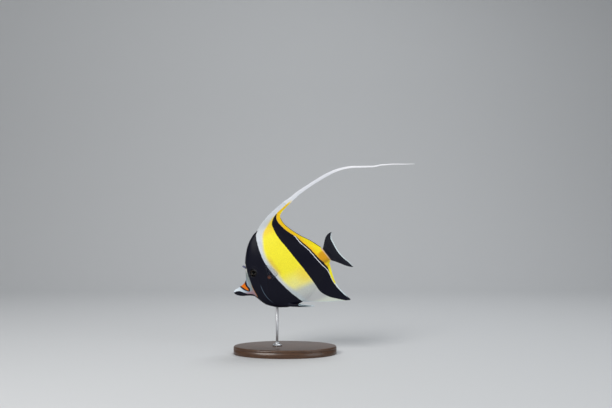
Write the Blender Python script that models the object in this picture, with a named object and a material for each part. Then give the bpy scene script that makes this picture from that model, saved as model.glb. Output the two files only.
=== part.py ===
"""A moorish idol, a flat-sided reef fish with a trailing dorsal streamer, on a plain display stand.

The fish is drawn in its own frame, in millimetres: s runs back from the snout along the body,
y runs to the fish's right, and h runs up. place() turns that frame nose down and sets it over the
stand, in metres, with +Z up, the snout towards -X and the fish's left side towards -Y.
"""

import math

import bmesh
import bpy
from mathutils import Vector

# Driving dimensions of the model, in millimetres and degrees
GAP = 0.3
PITCH = math.radians(22.0)
SNOUT_X = -76.7
SNOUT_Z = 95.1
ROOT_LINE = (150.2, -2.9)
TAIL_STALK_START = 134.0
FACE_START = 22.3

# The body's side outline, snout tip to tail root, as (s, h)
DORSAL_LINE = [
    (-2, -2.3), (-1, -0.3), (1, 0.9), (6, 1.7), (11.5, 2.8), (17, 4.5), (21.5, 7.8), (24.4, 14), (26.6, 21),
    (29, 28.5), (32.3, 36.5), (37.5, 46), (43.5, 54.8), (52, 63.3), (63.5, 70), (73, 71.2), (83, 68.6),
    (93, 61.8), (105, 50.2), (118, 36.2), (131, 23.8), (143, 13.2), (148, 8.8), (156, 5.5),
]
VENTRAL_LINE = [
    (-2, -2.9), (-1, -5), (1, -7.4), (3.6, -9.4), (9, -12.2), (15, -14.2), (21, -16.6), (25.5, -19.6),
    (28.5, -24.5), (31.5, -30), (35.5, -36), (41, -41), (48, -45.8), (57, -50.2), (67, -53.3), (80, -54.7),
    (91, -54), (105, -48.5), (120, -38), (136, -25), (150, -14.2), (154, -12.4), (158, -11.5),
]
# The level at which each section is widest, and the half-widths there and at the two edges
MID_LINE = [(-2, -2.6), (10, -4.6), (20, -4), (30, 2), (40, 8), (55, 7), (80, 5), (110, 2), (153, -2)]
HALF_WIDTH = [
    (-2, 0.7), (0, 2), (4, 3.3), (12, 4.2), (20, 5.8), (28, 8.6), (38, 11.6), (52, 13.6), (72, 13.2),
    (92, 10.8), (112, 7.6), (132, 4.8), (147, 3.4), (156, 3),
]
DORSAL_EDGE = [
    (-2, 0.4), (4, 1.5), (20, 2.4), (30, 3.2), (45, 2.8), (63, 1.9), (100, 1.5), (140, 1.1), (156, 1),
]
VENTRAL_EDGE = [
    (-2, 0.4), (4, 1.5), (20, 2.2), (35, 2.4), (60, 2.5), (85, 2), (100, 1.5), (140, 1.1), (156, 1),
]
FULLNESS = [(-2, 0.5), (20, 0.55), (40, 0.72), (60, 0.88), (100, 1), (150, 0.75)]
FLANK_POWER = 2.2
# The crown is how far the rounded back or belly stands over its side edges, where no fin sits on it
CROWN_SHARE = 0.5
DORSAL_CROWN_END = (56.0, 63.0)
VENTRAL_CROWN_END = (84.0, 90.0)

# The mouth line parts the pale snout from the dark lower jaw
MOUTH_LINE = [(-2, -2.6), (2, -3.5), (6, -5.8), (11, -8.9), (18, -12.4), (25, -15.4)]
GAPE = 1.1
GAPE_LENGTH = 5.0
LIP_SWELLING = 0.55
LIP_LENGTH = 4.5
LIP_REACH = 1.7

# The gill opening parts head from trunk: the cut's middle, its slant and its backward bulge
GILL_CUT = (50.5, 12.5, 5.5)
GILL_COVER_LIFT = 0.5
GILL_COVER_LENGTH = 4.0
GILL_GROOVE_DEPTH = 1.1
GILL_GROOVE_LENGTH = 6.0
GILL_CENTRE = -0.15
GILL_REACH = 0.75

# Head details, at their places in the side view
EYE_AT = (37.2, 14.7)
EYE_RADIUS = 5.8
EYE_BACK = 4.0
EYE_DOME = 1.7
ORBIT_WIDTH = 1.5
ORBIT_HEIGHT = 0.6
NOSTRILS = ((27.9, 16.2), (28.5, 19.2))
NOSTRIL_RADIUS = 0.65
NOSTRIL_DEPTH = 1.4
HORN_AT = (29.6, 26.2)
HORN_DIRECTION = (-0.78, 0.3, 0.55)
HORN_RADIUS = 1.9
HORN_LENGTH = 5.4
HORN_BOSS_HEIGHT = 0.9

# Fins: half the membrane's thickness between rays, and how far a ray stands over it on each face
MEMBRANE = 0.28
RIDGE = 0.36
SMALL_RIDGE = 0.27

# Dorsal fin: where its base runs, its outline, and the cut where its streamer begins
DORSAL_BASE = (64.8, 145.4)
DORSAL_RAYS = 36
DORSAL_LONG_RAYS = 5.5
STREAMER_CUT = ((119.0, 98.4), (122.3, 90.6))
DORSAL_MARGIN = [
    (122.3, 90.6), (114.5, 87.2), (108.8, 83), (106.3, 76.7), (107.9, 66.4), (114.4, 54.1), (124.3, 40.4),
    (134.9, 28.5), (144.4, 15.4), (146.8, 12.2),
]
DORSAL_BOW = 2.3
# Streamer: its centre line, and its depth along that line
STREAMER_LINE = [
    (120.93, 94.62), (129, 97.4), (145.8, 103.1), (162.8, 106.8), (179, 109.6), (195.5, 111.6),
    (211.8, 111.6), (231.4, 108.4), (249.4, 101.9), (267.3, 95), (280, 92.4), (296, 87.6), (326.5, 75.8),
]
STREAMER_DEPTH = [
    (0, 8.47), (0.06, 7), (0.13, 5.7), (0.2, 4.7), (0.32, 4), (0.45, 3.2), (0.65, 2.4), (0.85, 1.6),
    (1, 0.8),
]
STREAMER_THICKNESS = [(0, 1.7), (0.3, 1.3), (1, 0.6)]
STREAMER_DRIFT = 9.0
STREAMER_JOINT = 0.42

# Anal fin
ANAL_BASE = (91.5, 147.5)
ANAL_FRONT_TIP = (157.6, -78.6)
ANAL_MARGIN = [
    (158.6, -77.6), (151.4, -68.2), (146.6, -57), (145, -45.5), (146, -33), (148.2, -19), (148.8, -16),
]
ANAL_TIP_END = 0.04
ANAL_BOW = -1.6
ANAL_RAYS = 30

# Tail fin: its rear margin, its root, and how far its upper and lower edges bow outwards
TAIL_MARGIN = [(170, 26.8), (165.6, 19.5), (165.2, 10), (167.4, -3), (173, -15.8), (180.8, -34.4)]
TAIL_ROOT_INSET = 0.6
TAIL_ROOT_HALF = 2.5
TAIL_BOW = (2.2, 0.8)
TAIL_RAYS = 16
TAIL_SWING = 5.0

# Pectoral fins, raised at the start of a stroke
PECTORAL_BASE = ((56.6, 1.8), (61.2, -4.6))
PECTORAL_LEAD = (0.12, 0.86, 0.80)
PECTORAL_TRAIL = (0.95, 0.90, 0.30)
PECTORAL_LENGTH = [
    (0, 25.5), (0.06, 28.5), (0.15, 30.5), (0.3, 30), (0.5, 27), (0.75, 21.5), (0.93, 16.5), (1, 13.5),
]
PECTORAL_RAYS = 16
PECTORAL_CUP = 2.0
# Pelvic fins, folded back under the belly
PELVIC_BASE = ((65.3, -51.4), (69.5, -47.4))
PELVIC_LEAD = (39.2, 5.0, -15.6)
PELVIC_TRAIL = (14.0, 4.0, -8.0)
PELVIC_SAG = 0.7
PELVIC_RAYS = 6

# Stand
BASE_LENGTH = 156.0
BASE_WIDTH = 94.0
BASE_THICKNESS = 12.0
BASE_BEVEL = 2.0
ROD_X = -12.0
ROD_RADIUS = 1.9
COLLAR_RADIUS = 7.0
COLLAR_HEIGHT = 5.0

# Mesh fineness
FLANK_LEVELS = 13
JAW_LEVELS = 7
ROUND_SEGMENTS = 18

METRE = 0.001


def smooth_curve(points):
    """A monotone cubic through (x, y) points, so that an outline never overshoots them."""
    xs = [p[0] for p in points]
    ys = [p[1] for p in points]
    steps = [b - a for a, b in zip(xs, xs[1:])]
    slopes = [(b - a) / step for a, b, step in zip(ys, ys[1:], steps)]
    tangents = [slopes[0]]
    for i in range(1, len(slopes)):
        before, after = slopes[i - 1], slopes[i]
        if before * after <= 0:
            tangents.append(0.0)
            continue
        first = 2 * steps[i] + steps[i - 1]
        second = steps[i] + 2 * steps[i - 1]
        tangents.append((first + second) / (first / before + second / after))
    tangents.append(slopes[-1])

    def value(x):
        x = min(max(x, xs[0]), xs[-1])
        i = max(k for k in range(len(steps)) if xs[k] <= x)
        t = (x - xs[i]) / steps[i]
        left = ys[i] * (1 + 2 * t) + steps[i] * t * tangents[i]
        right = ys[i + 1] * (3 - 2 * t) - steps[i] * (1 - t) * tangents[i + 1]
        return left * (1 - t) ** 2 + right * t ** 2

    return value


def smooth_path(points):
    """A rounded path through points in the plane, as a function of its length share from 0 to 1."""
    fine = []
    last = len(points) - 1
    for i in range(last):
        p0, p1, p2, p3 = (Vector(points[min(max(i + k, 0), last)]) for k in (-1, 0, 1, 2))
        for step in range(12):
            t = step / 12
            fine.append(
                0.5 * (2 * p1 + (p2 - p0) * t + (2 * p0 - 5 * p1 + 4 * p2 - p3) * t ** 2
                       + (3 * p1 - p0 - 3 * p2 + p3) * t ** 3)
            )
    fine.append(Vector(points[-1]))
    lengths = [0.0]
    for a, b in zip(fine, fine[1:]):
        lengths.append(lengths[-1] + (b - a).length)

    def at(share):
        target = min(max(share, 0), 1) * lengths[-1]
        i = max(k for k in range(len(fine) - 1) if lengths[k] <= target)
        return fine[i].lerp(fine[i + 1], (target - lengths[i]) / (lengths[i + 1] - lengths[i]))

    return at


def smooth_step(low, high, x):
    t = min(max((x - low) / (high - low), 0), 1)
    return t * t * (3 - 2 * t)


dorsal_line = smooth_curve(DORSAL_LINE)
ventral_line = smooth_curve(VENTRAL_LINE)
mid_line = smooth_curve(MID_LINE)
half_width = smooth_curve(HALF_WIDTH)
dorsal_edge = smooth_curve(DORSAL_EDGE)
ventral_edge = smooth_curve(VENTRAL_EDGE)
fullness = smooth_curve(FULLNESS)
mouth_line = smooth_curve(MOUTH_LINE)


def dorsal_land(s):
    """The level of the back's side edges, below its rounded crown."""
    return dorsal_line(s) - CROWN_SHARE * dorsal_edge(s) * (1 - smooth_step(*DORSAL_CROWN_END, s))


def ventral_land(s):
    return ventral_line(s) + CROWN_SHARE * ventral_edge(s) * (1 - smooth_step(*VENTRAL_CROWN_END, s))


def section_share(s, h):
    """How far h lies from the widest level, 1 at the back's edge and -1 at the belly's."""
    mid = mid_line(s)
    if h >= mid:
        return min((h - mid) / max(dorsal_land(s) - mid, 0.01), 1)
    return max((h - mid) / max(mid - ventral_land(s), 0.01), -1)


def cut_place(cut, v):
    """Where a curved cut across the body lies at section share v."""
    return cut[0] + cut[1] * v + cut[2] * (1 - v * v)


def gill_share(v):
    return max(0.0, 1 - ((v - GILL_CENTRE) / GILL_REACH) ** 2)


def body_half_width(s, h, behind_gill=False):
    """The half-width of the body at (s, h), with the lips, and the raised rim of the gill cover."""
    v = section_share(s, h)
    edge = dorsal_edge(s) if v > 0 else ventral_edge(s)
    width = edge + (half_width(s) - edge) * (1 - abs(v) ** FLANK_POWER) ** fullness(s)
    if s < LIP_LENGTH:
        width += LIP_SWELLING * (1 - s / LIP_LENGTH) * math.exp(-((h - mouth_line(s)) / LIP_REACH) ** 2)
    behind = s - cut_place(GILL_CUT, v)
    if behind_gill:
        return width - GILL_GROOVE_DEPTH * gill_share(v) * (1 - smooth_step(0, GILL_GROOVE_LENGTH, behind))
    return width + GILL_COVER_LIFT * gill_share(v) * smooth_step(-GILL_COVER_LENGTH, 0, behind)


def flank_point(s, h, side, lift=0.0):
    """A point on the trunk's flank, lifted off it by lift along its outward normal."""
    width = body_half_width(s, h, behind_gill=True)
    step = 0.2
    slope_s = (body_half_width(s + step, h, True) - width) / step
    slope_h = (body_half_width(s, h + step, True) - width) / step
    normal = Vector((-slope_s, 1, -slope_h)).normalized()
    point = Vector((s, width, h)) + lift * normal
    return Vector((point.x, side * point.y, point.z)), Vector((normal.x, side * normal.y, normal.z))


def place(point):
    """From the fish's frame in millimetres to the model's frame in metres."""
    s, y, h = point
    x = SNOUT_X + s * math.cos(PITCH) - h * math.sin(PITCH)
    z = SNOUT_Z + s * math.sin(PITCH) + h * math.cos(PITCH)
    return Vector((x, y, z)) * METRE


def clear_scene():
    for obj in list(bpy.data.objects):
        bpy.data.objects.remove(obj)


def material(name, colour, roughness, metallic=0.0):
    made = bpy.data.materials.new(name)
    made.use_nodes = True
    shader = made.node_tree.nodes["Principled BSDF"]
    shader.inputs["Base Color"].default_value = (*colour, 1)
    shader.inputs["Roughness"].default_value = roughness
    shader.inputs["Metallic"].default_value = metallic
    return made


def add_object(name, points, faces, finish):
    """A closed mesh object whose faces point outwards, from points in metres."""
    mesh = bpy.data.meshes.new(name)
    mesh.from_pydata([tuple(p) for p in points], [], faces)
    shape = bmesh.new()
    shape.from_mesh(mesh)
    bmesh.ops.recalc_face_normals(shape, faces=shape.faces)
    shape.to_mesh(mesh)
    shape.free()
    mesh.materials.append(finish)
    mesh.shade_smooth()
    mesh.set_sharp_from_angle(angle=math.radians(40))
    obj = bpy.data.objects.new(name, mesh)
    bpy.context.scene.collection.objects.link(obj)
    return obj


def combine(target, tools, operation):
    """Joins closed tools to target, or cuts them from it, with one Boolean, and removes them."""
    group = bpy.data.collections.new("tools")
    for tool in tools:
        bpy.context.scene.collection.objects.unlink(tool)
        group.objects.link(tool)
    modifier = target.modifiers.new(operation, "BOOLEAN")
    modifier.operation = operation
    modifier.operand_type = "COLLECTION"
    modifier.collection = group
    modifier.solver = "EXACT"
    graph = bpy.context.evaluated_depsgraph_get()
    joined = bpy.data.meshes.new_from_object(target.evaluated_get(graph))
    target.modifiers.clear()
    target.data = joined
    for tool in tools:
        bpy.data.objects.remove(tool)
    bpy.data.collections.remove(group)


def lathe(name, profile, centre, axis, finish, segments=ROUND_SEGMENTS):
    """A turned closed shape in the fish's frame; profile holds (radius, height along axis), pole to pole."""
    axis = Vector(axis).normalized()
    across = axis.orthogonal().normalized()
    other = axis.cross(across)
    points, rings = [], []
    for radius, height in profile:
        middle = Vector(centre) + axis * height
        if radius < 1e-6:
            rings.append([len(points)])
            points.append(place(middle))
            continue
        rings.append(range(len(points), len(points) + segments))
        for k in range(segments):
            angle = 2 * math.pi * k / segments
            points.append(place(middle + radius * (across * math.cos(angle) + other * math.sin(angle))))
    faces = []
    for low, high in zip(rings, rings[1:]):
        for k in range(segments):
            n = (k + 1) % segments
            if len(low) == 1:
                faces.append((low[0], high[n], high[k]))
            elif len(high) == 1:
                faces.append((low[k], low[n], high[0]))
            else:
                faces.append((low[k], low[n], high[n], high[k]))
    return add_object(name, points, faces, finish)


def body_section(cut, behind_gill):
    """One closed ring round the body: down the left flank from the back, and up the right one."""
    flank = []
    for k in range(FLANK_LEVELS + 1):
        v = math.cos(math.pi * k / FLANK_LEVELS)
        s = cut_place(cut, v)
        edge_level = dorsal_land(s) if v > 0 else 2 * mid_line(s) - ventral_land(s)
        h = mid_line(s) + v * (edge_level - mid_line(s))
        flank.append((s, body_half_width(s, h, behind_gill), h))
    top, bottom = flank[0][0], flank[-1][0]
    left = [Vector((s, -y, h)) for s, y, h in flank]
    right = [Vector((s, y, h)) for s, y, h in reversed(flank)]
    return left + [Vector((bottom, 0, ventral_line(bottom)))] + right + [Vector((top, 0, dorsal_line(top)))]


def jaw_section(s, low, high, crown, keel):
    """A ring round a slice of the snout between two levels; crown or keel rounds its outer edge."""
    shares = [(1 + math.cos(math.pi * k / JAW_LEVELS)) / 2 for k in range(JAW_LEVELS + 1)]
    levels = [low + (high - low) * share for share in shares]
    flank = [(s, body_half_width(s, h), h) for h in levels]
    left = [Vector((s, -y, h)) for s, y, h in flank]
    right = [Vector((s, y, h)) for s, y, h in reversed(flank)]
    bottom = Vector((s, 0, ventral_line(s) if keel else low))
    top = Vector((s, 0, dorsal_line(s) if crown else high))
    return left + [bottom] + right + [top]


def loft(name, rings, finish):
    """Joins rings of equal length into a closed shape, whose ends are ruled from side to side."""
    count = len(rings[0])
    half = count // 2
    points = [place(p) for ring in rings for p in ring]
    faces = []
    for r in range(len(rings) - 1):
        for k in range(count):
            a, b = r * count + k, r * count + (k + 1) % count
            faces.append((a, b, b + count, a + count))
    for start in (0, (len(rings) - 1) * count):
        faces.append((start + count - 1, start, start + count - 2))
        faces.append((start + half - 2, start + half - 1, start + half))
        for k in range(half - 2):
            faces.append((start + k, start + k + 1, start + count - 3 - k, start + count - 2 - k))
    return add_object(name, points, faces, finish)


def blend_cuts(first, last, count, ease=1.0):
    """Cuts that pass evenly from the first to the last."""
    shares = [(k / count) ** ease for k in range(count + 1)]
    return [tuple(a + (b - a) * share for a, b in zip(first, last)) for share in shares]


def shifted(cut, distance):
    return (cut[0] + distance, *cut[1:])


def make_snout(finish):
    """The pale snout over the mouth line, with its swollen upper lip."""
    stations = [-1.4, -0.9, 0, 1.4, 3, 5, 8, 11, 14, 17, 19.5, FACE_START - GAP]
    rings = []
    for s in stations:
        open_by = GAP / 2 + 0.6 * GAPE * max(0, 1 - max(s, 0) / GAPE_LENGTH)
        rings.append(jaw_section(s, mouth_line(s) + open_by, dorsal_land(s), crown=True, keel=False))
    return loft("snout", rings, finish)


def make_lower_jaw(finish):
    """The dark lower jaw under the mouth line, whose lip stands a little forward."""
    stations = [-1.6, -1, 0, 1.4, 3, 5, 8, 11, 14, 17, 19.5, FACE_START - GAP]
    rings = []
    for s in stations:
        open_by = GAP / 2 + 0.4 * GAPE * max(0, 1 - max(s, 0) / GAPE_LENGTH)
        rings.append(jaw_section(s, ventral_land(s), mouth_line(s) - open_by, crown=False, keel=True))
    return loft("lower_jaw", rings, finish)


def head_point(s, h, side):
    """A point on the head's surface and its outward normal."""
    width = body_half_width(s, h)
    step = 0.2
    slope_s = (body_half_width(s + step, h) - body_half_width(s - step, h)) / (2 * step)
    slope_h = (body_half_width(s, h + step) - body_half_width(s, h - step)) / (2 * step)
    normal = Vector((-slope_s, 1, -slope_h)).normalized()
    return Vector((s, side * width, h)), Vector((normal.x, side * normal.y, normal.z))


def make_head(finish):
    """Face, brow and gill covers in one, with eye sockets and rims, nostrils and the bosses of the horns."""
    face = blend_cuts((FACE_START, 0, 0), (33, 3.2, 0.6), 12)
    cheek = blend_cuts((33, 3.2, 0.6), GILL_CUT, 9)
    rings = [body_section(cut, behind_gill=False) for cut in face + cheek[1:]]
    head = loft("head", rings, finish)
    added, cut = [], []
    for side in (-1, 1):
        eye, out = head_point(*EYE_AT, side)
        rim = EYE_RADIUS + GAP
        added.append(lathe("orbit", [
            (0, -2), (rim + ORBIT_WIDTH, -2), (rim + ORBIT_WIDTH, -0.6), (rim + 0.5, ORBIT_HEIGHT),
            (rim - 0.4, ORBIT_HEIGHT), (0, ORBIT_HEIGHT),
        ], eye, out, finish))
        cut.append(lathe("socket", [
            (0, -EYE_BACK - GAP), (0.66 * rim, -0.86 * EYE_BACK - GAP), (0.92 * rim, -0.5 * EYE_BACK - GAP),
            (rim, -GAP), (rim, EYE_RADIUS), (0, EYE_RADIUS),
        ], eye, out, finish))
        for nostril in NOSTRILS:
            hole, out = head_point(*nostril, side)
            cut.append(lathe("nostril", [
                (0, -NOSTRIL_DEPTH), (NOSTRIL_RADIUS, -NOSTRIL_DEPTH), (NOSTRIL_RADIUS, 2), (0, 2),
            ], hole, out, finish, segments=7))
        root, _ = head_point(*HORN_AT, side)
        direction = Vector((HORN_DIRECTION[0], side * HORN_DIRECTION[1], HORN_DIRECTION[2]))
        added.append(lathe("boss", [
            (0, -3), (HORN_RADIUS + 0.9, -3), (HORN_RADIUS + 0.2, HORN_BOSS_HEIGHT), (0, HORN_BOSS_HEIGHT),
        ], root, direction, finish, segments=9))
    combine(head, added, "UNION")
    combine(head, cut, "DIFFERENCE")
    return head


def make_eye(name, side, finish):
    """An eyeball with a low dome, seated in its socket."""
    eye, out = head_point(*EYE_AT, side)
    r = EYE_RADIUS
    lathe(name, [
        (0, -EYE_BACK), (0.66 * r, -0.86 * EYE_BACK), (0.92 * r, -0.5 * EYE_BACK), (r, 0),
        (0.93 * r, 0.42 * EYE_DOME), (0.68 * r, 0.78 * EYE_DOME), (0.36 * r, 0.95 * EYE_DOME), (0, EYE_DOME),
    ], eye, out, finish)


def make_horn(name, side, finish):
    """The small bony horn in front of the eye, bent a little upwards."""
    root, _ = head_point(*HORN_AT, side)
    direction = Vector((HORN_DIRECTION[0], side * HORN_DIRECTION[1], HORN_DIRECTION[2])).normalized()
    foot = root + direction * (HORN_BOSS_HEIGHT + GAP)
    across = direction.orthogonal().normalized()
    other = direction.cross(across)
    sides, steps = 9, 4
    points = []
    for k in range(steps + 1):
        t = k / steps
        middle = foot + direction * HORN_LENGTH * t + Vector((0, 0, 1.1)) * t * t
        radius = HORN_RADIUS * (1 - 0.82 * t ** 1.15)
        for n in range(sides):
            angle = 2 * math.pi * n / sides
            points.append(place(middle + radius * (across * math.cos(angle) + other * math.sin(angle))))
    faces = [
        (k * sides + n, k * sides + (n + 1) % sides, (k + 1) * sides + (n + 1) % sides, (k + 1) * sides + n)
        for k in range(steps) for n in range(sides)
    ]
    faces.append(tuple(range(sides)))
    faces.append(tuple(range(steps * sides, (steps + 1) * sides)))
    return add_object(name, points, faces, finish)


def make_trunk(finish):
    start = shifted(GILL_CUT, GAP * 1.3)
    middle = (94.0, 4.0, 2.0)
    cuts = blend_cuts(start, middle, 13, ease=1.15) + blend_cuts(middle, (TAIL_STALK_START, -1.5, 0), 9)[1:]
    return loft("trunk", [body_section(cut, behind_gill=True) for cut in cuts], finish)


def make_tail_stalk(finish):
    cuts = blend_cuts((TAIL_STALK_START + GAP, -1.5, 0), (ROOT_LINE[0], ROOT_LINE[1], 0), 5)
    return loft("tail_stalk", [body_section(cut, behind_gill=True) for cut in cuts], finish)


def grid_shell(name, columns, rows, points, finish):
    """Closes two like grids of points, left face then right face, into one thin shell.

    Both faces are split along the same diagonals, so that the shell is evenly thick.
    """
    high = rows + 1
    right = (columns + 1) * high
    faces = []
    for j in range(columns):
        for i in range(rows):
            a, b, c, d = j * high + i, (j + 1) * high + i, (j + 1) * high + i + 1, j * high + i + 1
            for offset in (0, right):
                faces += [(a + offset, b + offset, c + offset), (a + offset, c + offset, d + offset)]
    border = [j * high for j in range(columns)]
    border += [columns * high + i for i in range(rows)]
    border += [j * high + rows for j in range(columns, 0, -1)]
    border += [i for i in range(rows, 0, -1)]
    for a, b in zip(border, border[1:] + border[:1]):
        faces += [(a, b, b + right), (a, b + right, a + right)]
    return add_object(name, points, faces, finish)


def fin(name, columns, rows, surface, finish):
    """A fin with columns along its rays; surface(column, u, v, side) is a point of one face."""
    points = []
    for side in (-1, 1):
        for j in range(columns + 1):
            for i in range(rows + 1):
                points.append(place(surface(j, j / columns, i / rows, side)))
    return grid_shell(name, columns, rows, points, finish)


def ray_ridge(column, v, height):
    """Ridges stand on the odd columns, highest where the ray is stout, and fade at the margin."""
    return height * (column % 2) * smooth_step(0, 0.16, v) * (1 - 0.6 * v)


def dorsal_tip(u):
    """The end of a dorsal ray: on the streamer's cut for the front spines, then along the rear margin."""
    cut_share = DORSAL_LONG_RAYS / DORSAL_RAYS
    if u <= cut_share:
        return Vector(STREAMER_CUT[0]).lerp(Vector(STREAMER_CUT[1]), u / cut_share)
    return dorsal_margin((u - cut_share) / (1 - cut_share))


dorsal_margin = smooth_path(DORSAL_MARGIN)
anal_margin = smooth_path(ANAL_MARGIN)
tail_margin = smooth_path(TAIL_MARGIN)


def ray_point(root, tip, v, bow):
    """A point along a ray that bows away from the straight line by bow at its middle."""
    along = tip - root
    across = Vector((-along.y, along.x)).normalized() if along.length > 1e-6 else Vector((0, 0))
    flat = root + along * v + across * bow * 4 * v * (1 - v)
    return Vector((flat.x, 0, flat.y))


def outline_offset(line, s, distance):
    """The point of the body outline at s, moved off it by distance along its normal."""
    step = 0.1
    slope = (line(s + step) - line(s - step)) / (2 * step)
    normal = Vector((-slope, 1)).normalized()
    return Vector((s, line(s))) + normal * distance


def make_dorsal_fin(finish):
    first, last = DORSAL_BASE
    columns = 2 * DORSAL_RAYS

    def surface(column, u, v, side):
        s = first + (last - first) * u
        middle = ray_point(outline_offset(dorsal_line, s, GAP), dorsal_tip(u), v, DORSAL_BOW * (1 - u) ** 3)
        base = dorsal_edge(s)
        front = 1 - smooth_step(0, 0.3, u)
        stout = 1 - smooth_step(0.75, 1.3, u * DORSAL_RAYS / DORSAL_LONG_RAYS)
        margin = MEMBRANE + (STREAMER_THICKNESS[0][1] / 2 - MEMBRANE) * stout
        body = margin + (base - margin) * (1 - smooth_step(0, 0.45 + 0.3 * front, v)) ** 1.3
        return middle + Vector((0, side, 0)) * (body + ray_ridge(column, v, RIDGE))

    return fin("dorsal_fin", columns, 6, surface, finish)


def make_streamer(name, first, last, rows, finish):
    """A length of the streamer: a tapering blade with its spine along the upper edge and two rays below."""
    path = smooth_path(STREAMER_LINE)
    cut_line = (Vector(STREAMER_CUT[0]) - Vector(STREAMER_CUT[1])).normalized()
    depth = smooth_curve(STREAMER_DEPTH)
    thickness = smooth_curve(STREAMER_THICKNESS)
    # Round the blade: (share of the half-depth, share of the half-thickness)
    half_section = [(1, 0), (0.78, 1), (0.42, 0.62), (0.1, 0.92), (-0.3, 0.55), (-0.68, 0.85), (-1, 0)]
    section = half_section + [(a, -b) for a, b in reversed(half_section[1:-1])]
    points = []
    for k in range(rows + 1):
        t = first + (last - first) * k / rows
        here = path(t)
        along = (path(t + 0.004) - path(t - 0.004)).normalized()
        across = cut_line.lerp(Vector((-along.y, along.x)), smooth_step(0, 0.06, t)).normalized()
        drift = STREAMER_DRIFT * t * t
        for a, b in section:
            flat = here + across * a * depth(t) / 2
            points.append(place((flat.x, drift + b * thickness(t) / 2, flat.y)))
    sides = len(section)
    faces = [
        (k * sides + n, k * sides + (n + 1) % sides, (k + 1) * sides + (n + 1) % sides, (k + 1) * sides + n)
        for k in range(rows) for n in range(sides)
    ]
    faces.append(tuple(range(sides)))
    faces.append(tuple(range(rows * sides, (rows + 1) * sides)))
    return add_object(name, points, faces, finish)


def make_anal_fin(finish):
    first, last = ANAL_BASE
    columns = 2 * ANAL_RAYS

    def tip(u):
        if u <= ANAL_TIP_END:
            return Vector(ANAL_FRONT_TIP).lerp(Vector(ANAL_MARGIN[0]), u / ANAL_TIP_END)
        return anal_margin((u - ANAL_TIP_END) / (1 - ANAL_TIP_END))

    def surface(column, u, v, side):
        s = first + (last - first) * u
        middle = ray_point(outline_offset(ventral_line, s, -GAP), tip(u), v, ANAL_BOW * (1 - u) ** 2)
        base = ventral_edge(s)
        body = MEMBRANE + (base - MEMBRANE) * (1 - smooth_step(0, 0.5, v)) ** 1.3
        return middle + Vector((0, side, 0)) * (body + ray_ridge(column, v, RIDGE))

    return fin("anal_fin", columns, 6, surface, finish)


def make_tail_fin(finish):
    """The tail fin, whose rays fork half way to the crescent margin, and which swings a little aside."""
    upper = cut_place((*ROOT_LINE, 0), 1) + GAP
    lower = cut_place((*ROOT_LINE, 0), -1) + GAP
    root_top = Vector((upper, dorsal_line(upper) - TAIL_ROOT_INSET))
    root_bottom = Vector((lower, ventral_line(lower) + TAIL_ROOT_INSET))
    columns = 4 * TAIL_RAYS

    def surface(column, u, v, side):
        share = 1 - 2 * u
        bow = share * TAIL_BOW[0 if share > 0 else 1]
        middle = ray_point(root_top.lerp(root_bottom, u), tail_margin(u), v, bow)
        middle.y = TAIL_SWING * v * v
        root = TAIL_ROOT_HALF * (1 - 0.45 * share * share)
        body = MEMBRANE + (root - MEMBRANE) * (1 - smooth_step(0, 0.4, v)) ** 1.5
        fork = smooth_step(0.35, 0.75, v)
        ridge = (0, 1, 1 - fork, 1)[column % 4]
        body += RIDGE * ridge * smooth_step(0, 0.2, v) * (1 - 0.6 * v)
        return middle + Vector((-0.3 * v, 1, 0)).normalized() * side * body

    return fin("tail_fin", columns, 5, surface, finish)


def seated(point, v, side):
    """A paired fin's root follows the flank, so that the fin stands face to face with it."""
    return flank_point(point.x, point.z, side, GAP)[0] if v == 0 else point


def make_pectoral_fin(name, side, finish):
    """A rounded fan, its root on the flank behind the gill opening, raised out and up."""
    front, rear = (Vector(p) for p in PECTORAL_BASE)
    lead = Vector((PECTORAL_LEAD[0], side * PECTORAL_LEAD[1], PECTORAL_LEAD[2])).normalized()
    trail = Vector((PECTORAL_TRAIL[0], side * PECTORAL_TRAIL[1], PECTORAL_TRAIL[2])).normalized()
    across = lead.cross(trail).normalized()
    length = smooth_curve(PECTORAL_LENGTH)

    def surface(column, u, v, face):
        flat = front.lerp(rear, u)
        root, _ = flank_point(flat.x, flat.y, side, GAP)
        cup = side * PECTORAL_CUP * v * v * math.sin(math.pi * u)
        body = MEMBRANE + 0.45 * (1 - smooth_step(0, 0.5, v)) + ray_ridge(column, v, SMALL_RIDGE)
        point = root + lead.lerp(trail, u).normalized() * length(u) * v + across * (cup + face * body)
        return seated(point, v, side)

    return fin(name, 2 * PECTORAL_RAYS, 5, surface, finish)


def make_pelvic_fin(name, side, finish):
    """A narrow pointed fin with a stout front spine, folded back along the belly."""
    front, rear = (Vector(p) for p in PELVIC_BASE)
    lead = Vector((PELVIC_LEAD[0], side * PELVIC_LEAD[1], PELVIC_LEAD[2]))
    trail = Vector((PELVIC_TRAIL[0], side * PELVIC_TRAIL[1], PELVIC_TRAIL[2]))
    across = Vector((-0.1, side, 0)).normalized()

    def surface(column, u, v, face):
        flat = front.lerp(rear, u)
        root, _ = flank_point(flat.x, flat.y, side, GAP)
        reach = lead.lerp(trail, 1 - (1 - u) ** 1.8)
        body = MEMBRANE + 0.35 * (1 - smooth_step(0, 0.5, v)) + 0.25 * (1 - u) ** 2 * (1 - v)
        body += ray_ridge(column, v, SMALL_RIDGE)
        point = root + reach * v + Vector((0, 0, -PELVIC_SAG)) * math.sin(math.pi * v) + across * face * body
        return seated(point, v, side)

    return fin(name, 2 * PELVIC_RAYS, 6, surface, finish)


def belly_level(x):
    """The height of the belly's lowest line over a point of the stand, in millimetres."""
    low, high = 30.0, 85.0
    for _ in range(40):
        s = (low + high) / 2
        if place((s, 0, ventral_line(s))).x < x * METRE:
            low = s
        else:
            high = s
    return place((low, 0, ventral_line(low))).z / METRE


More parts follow.
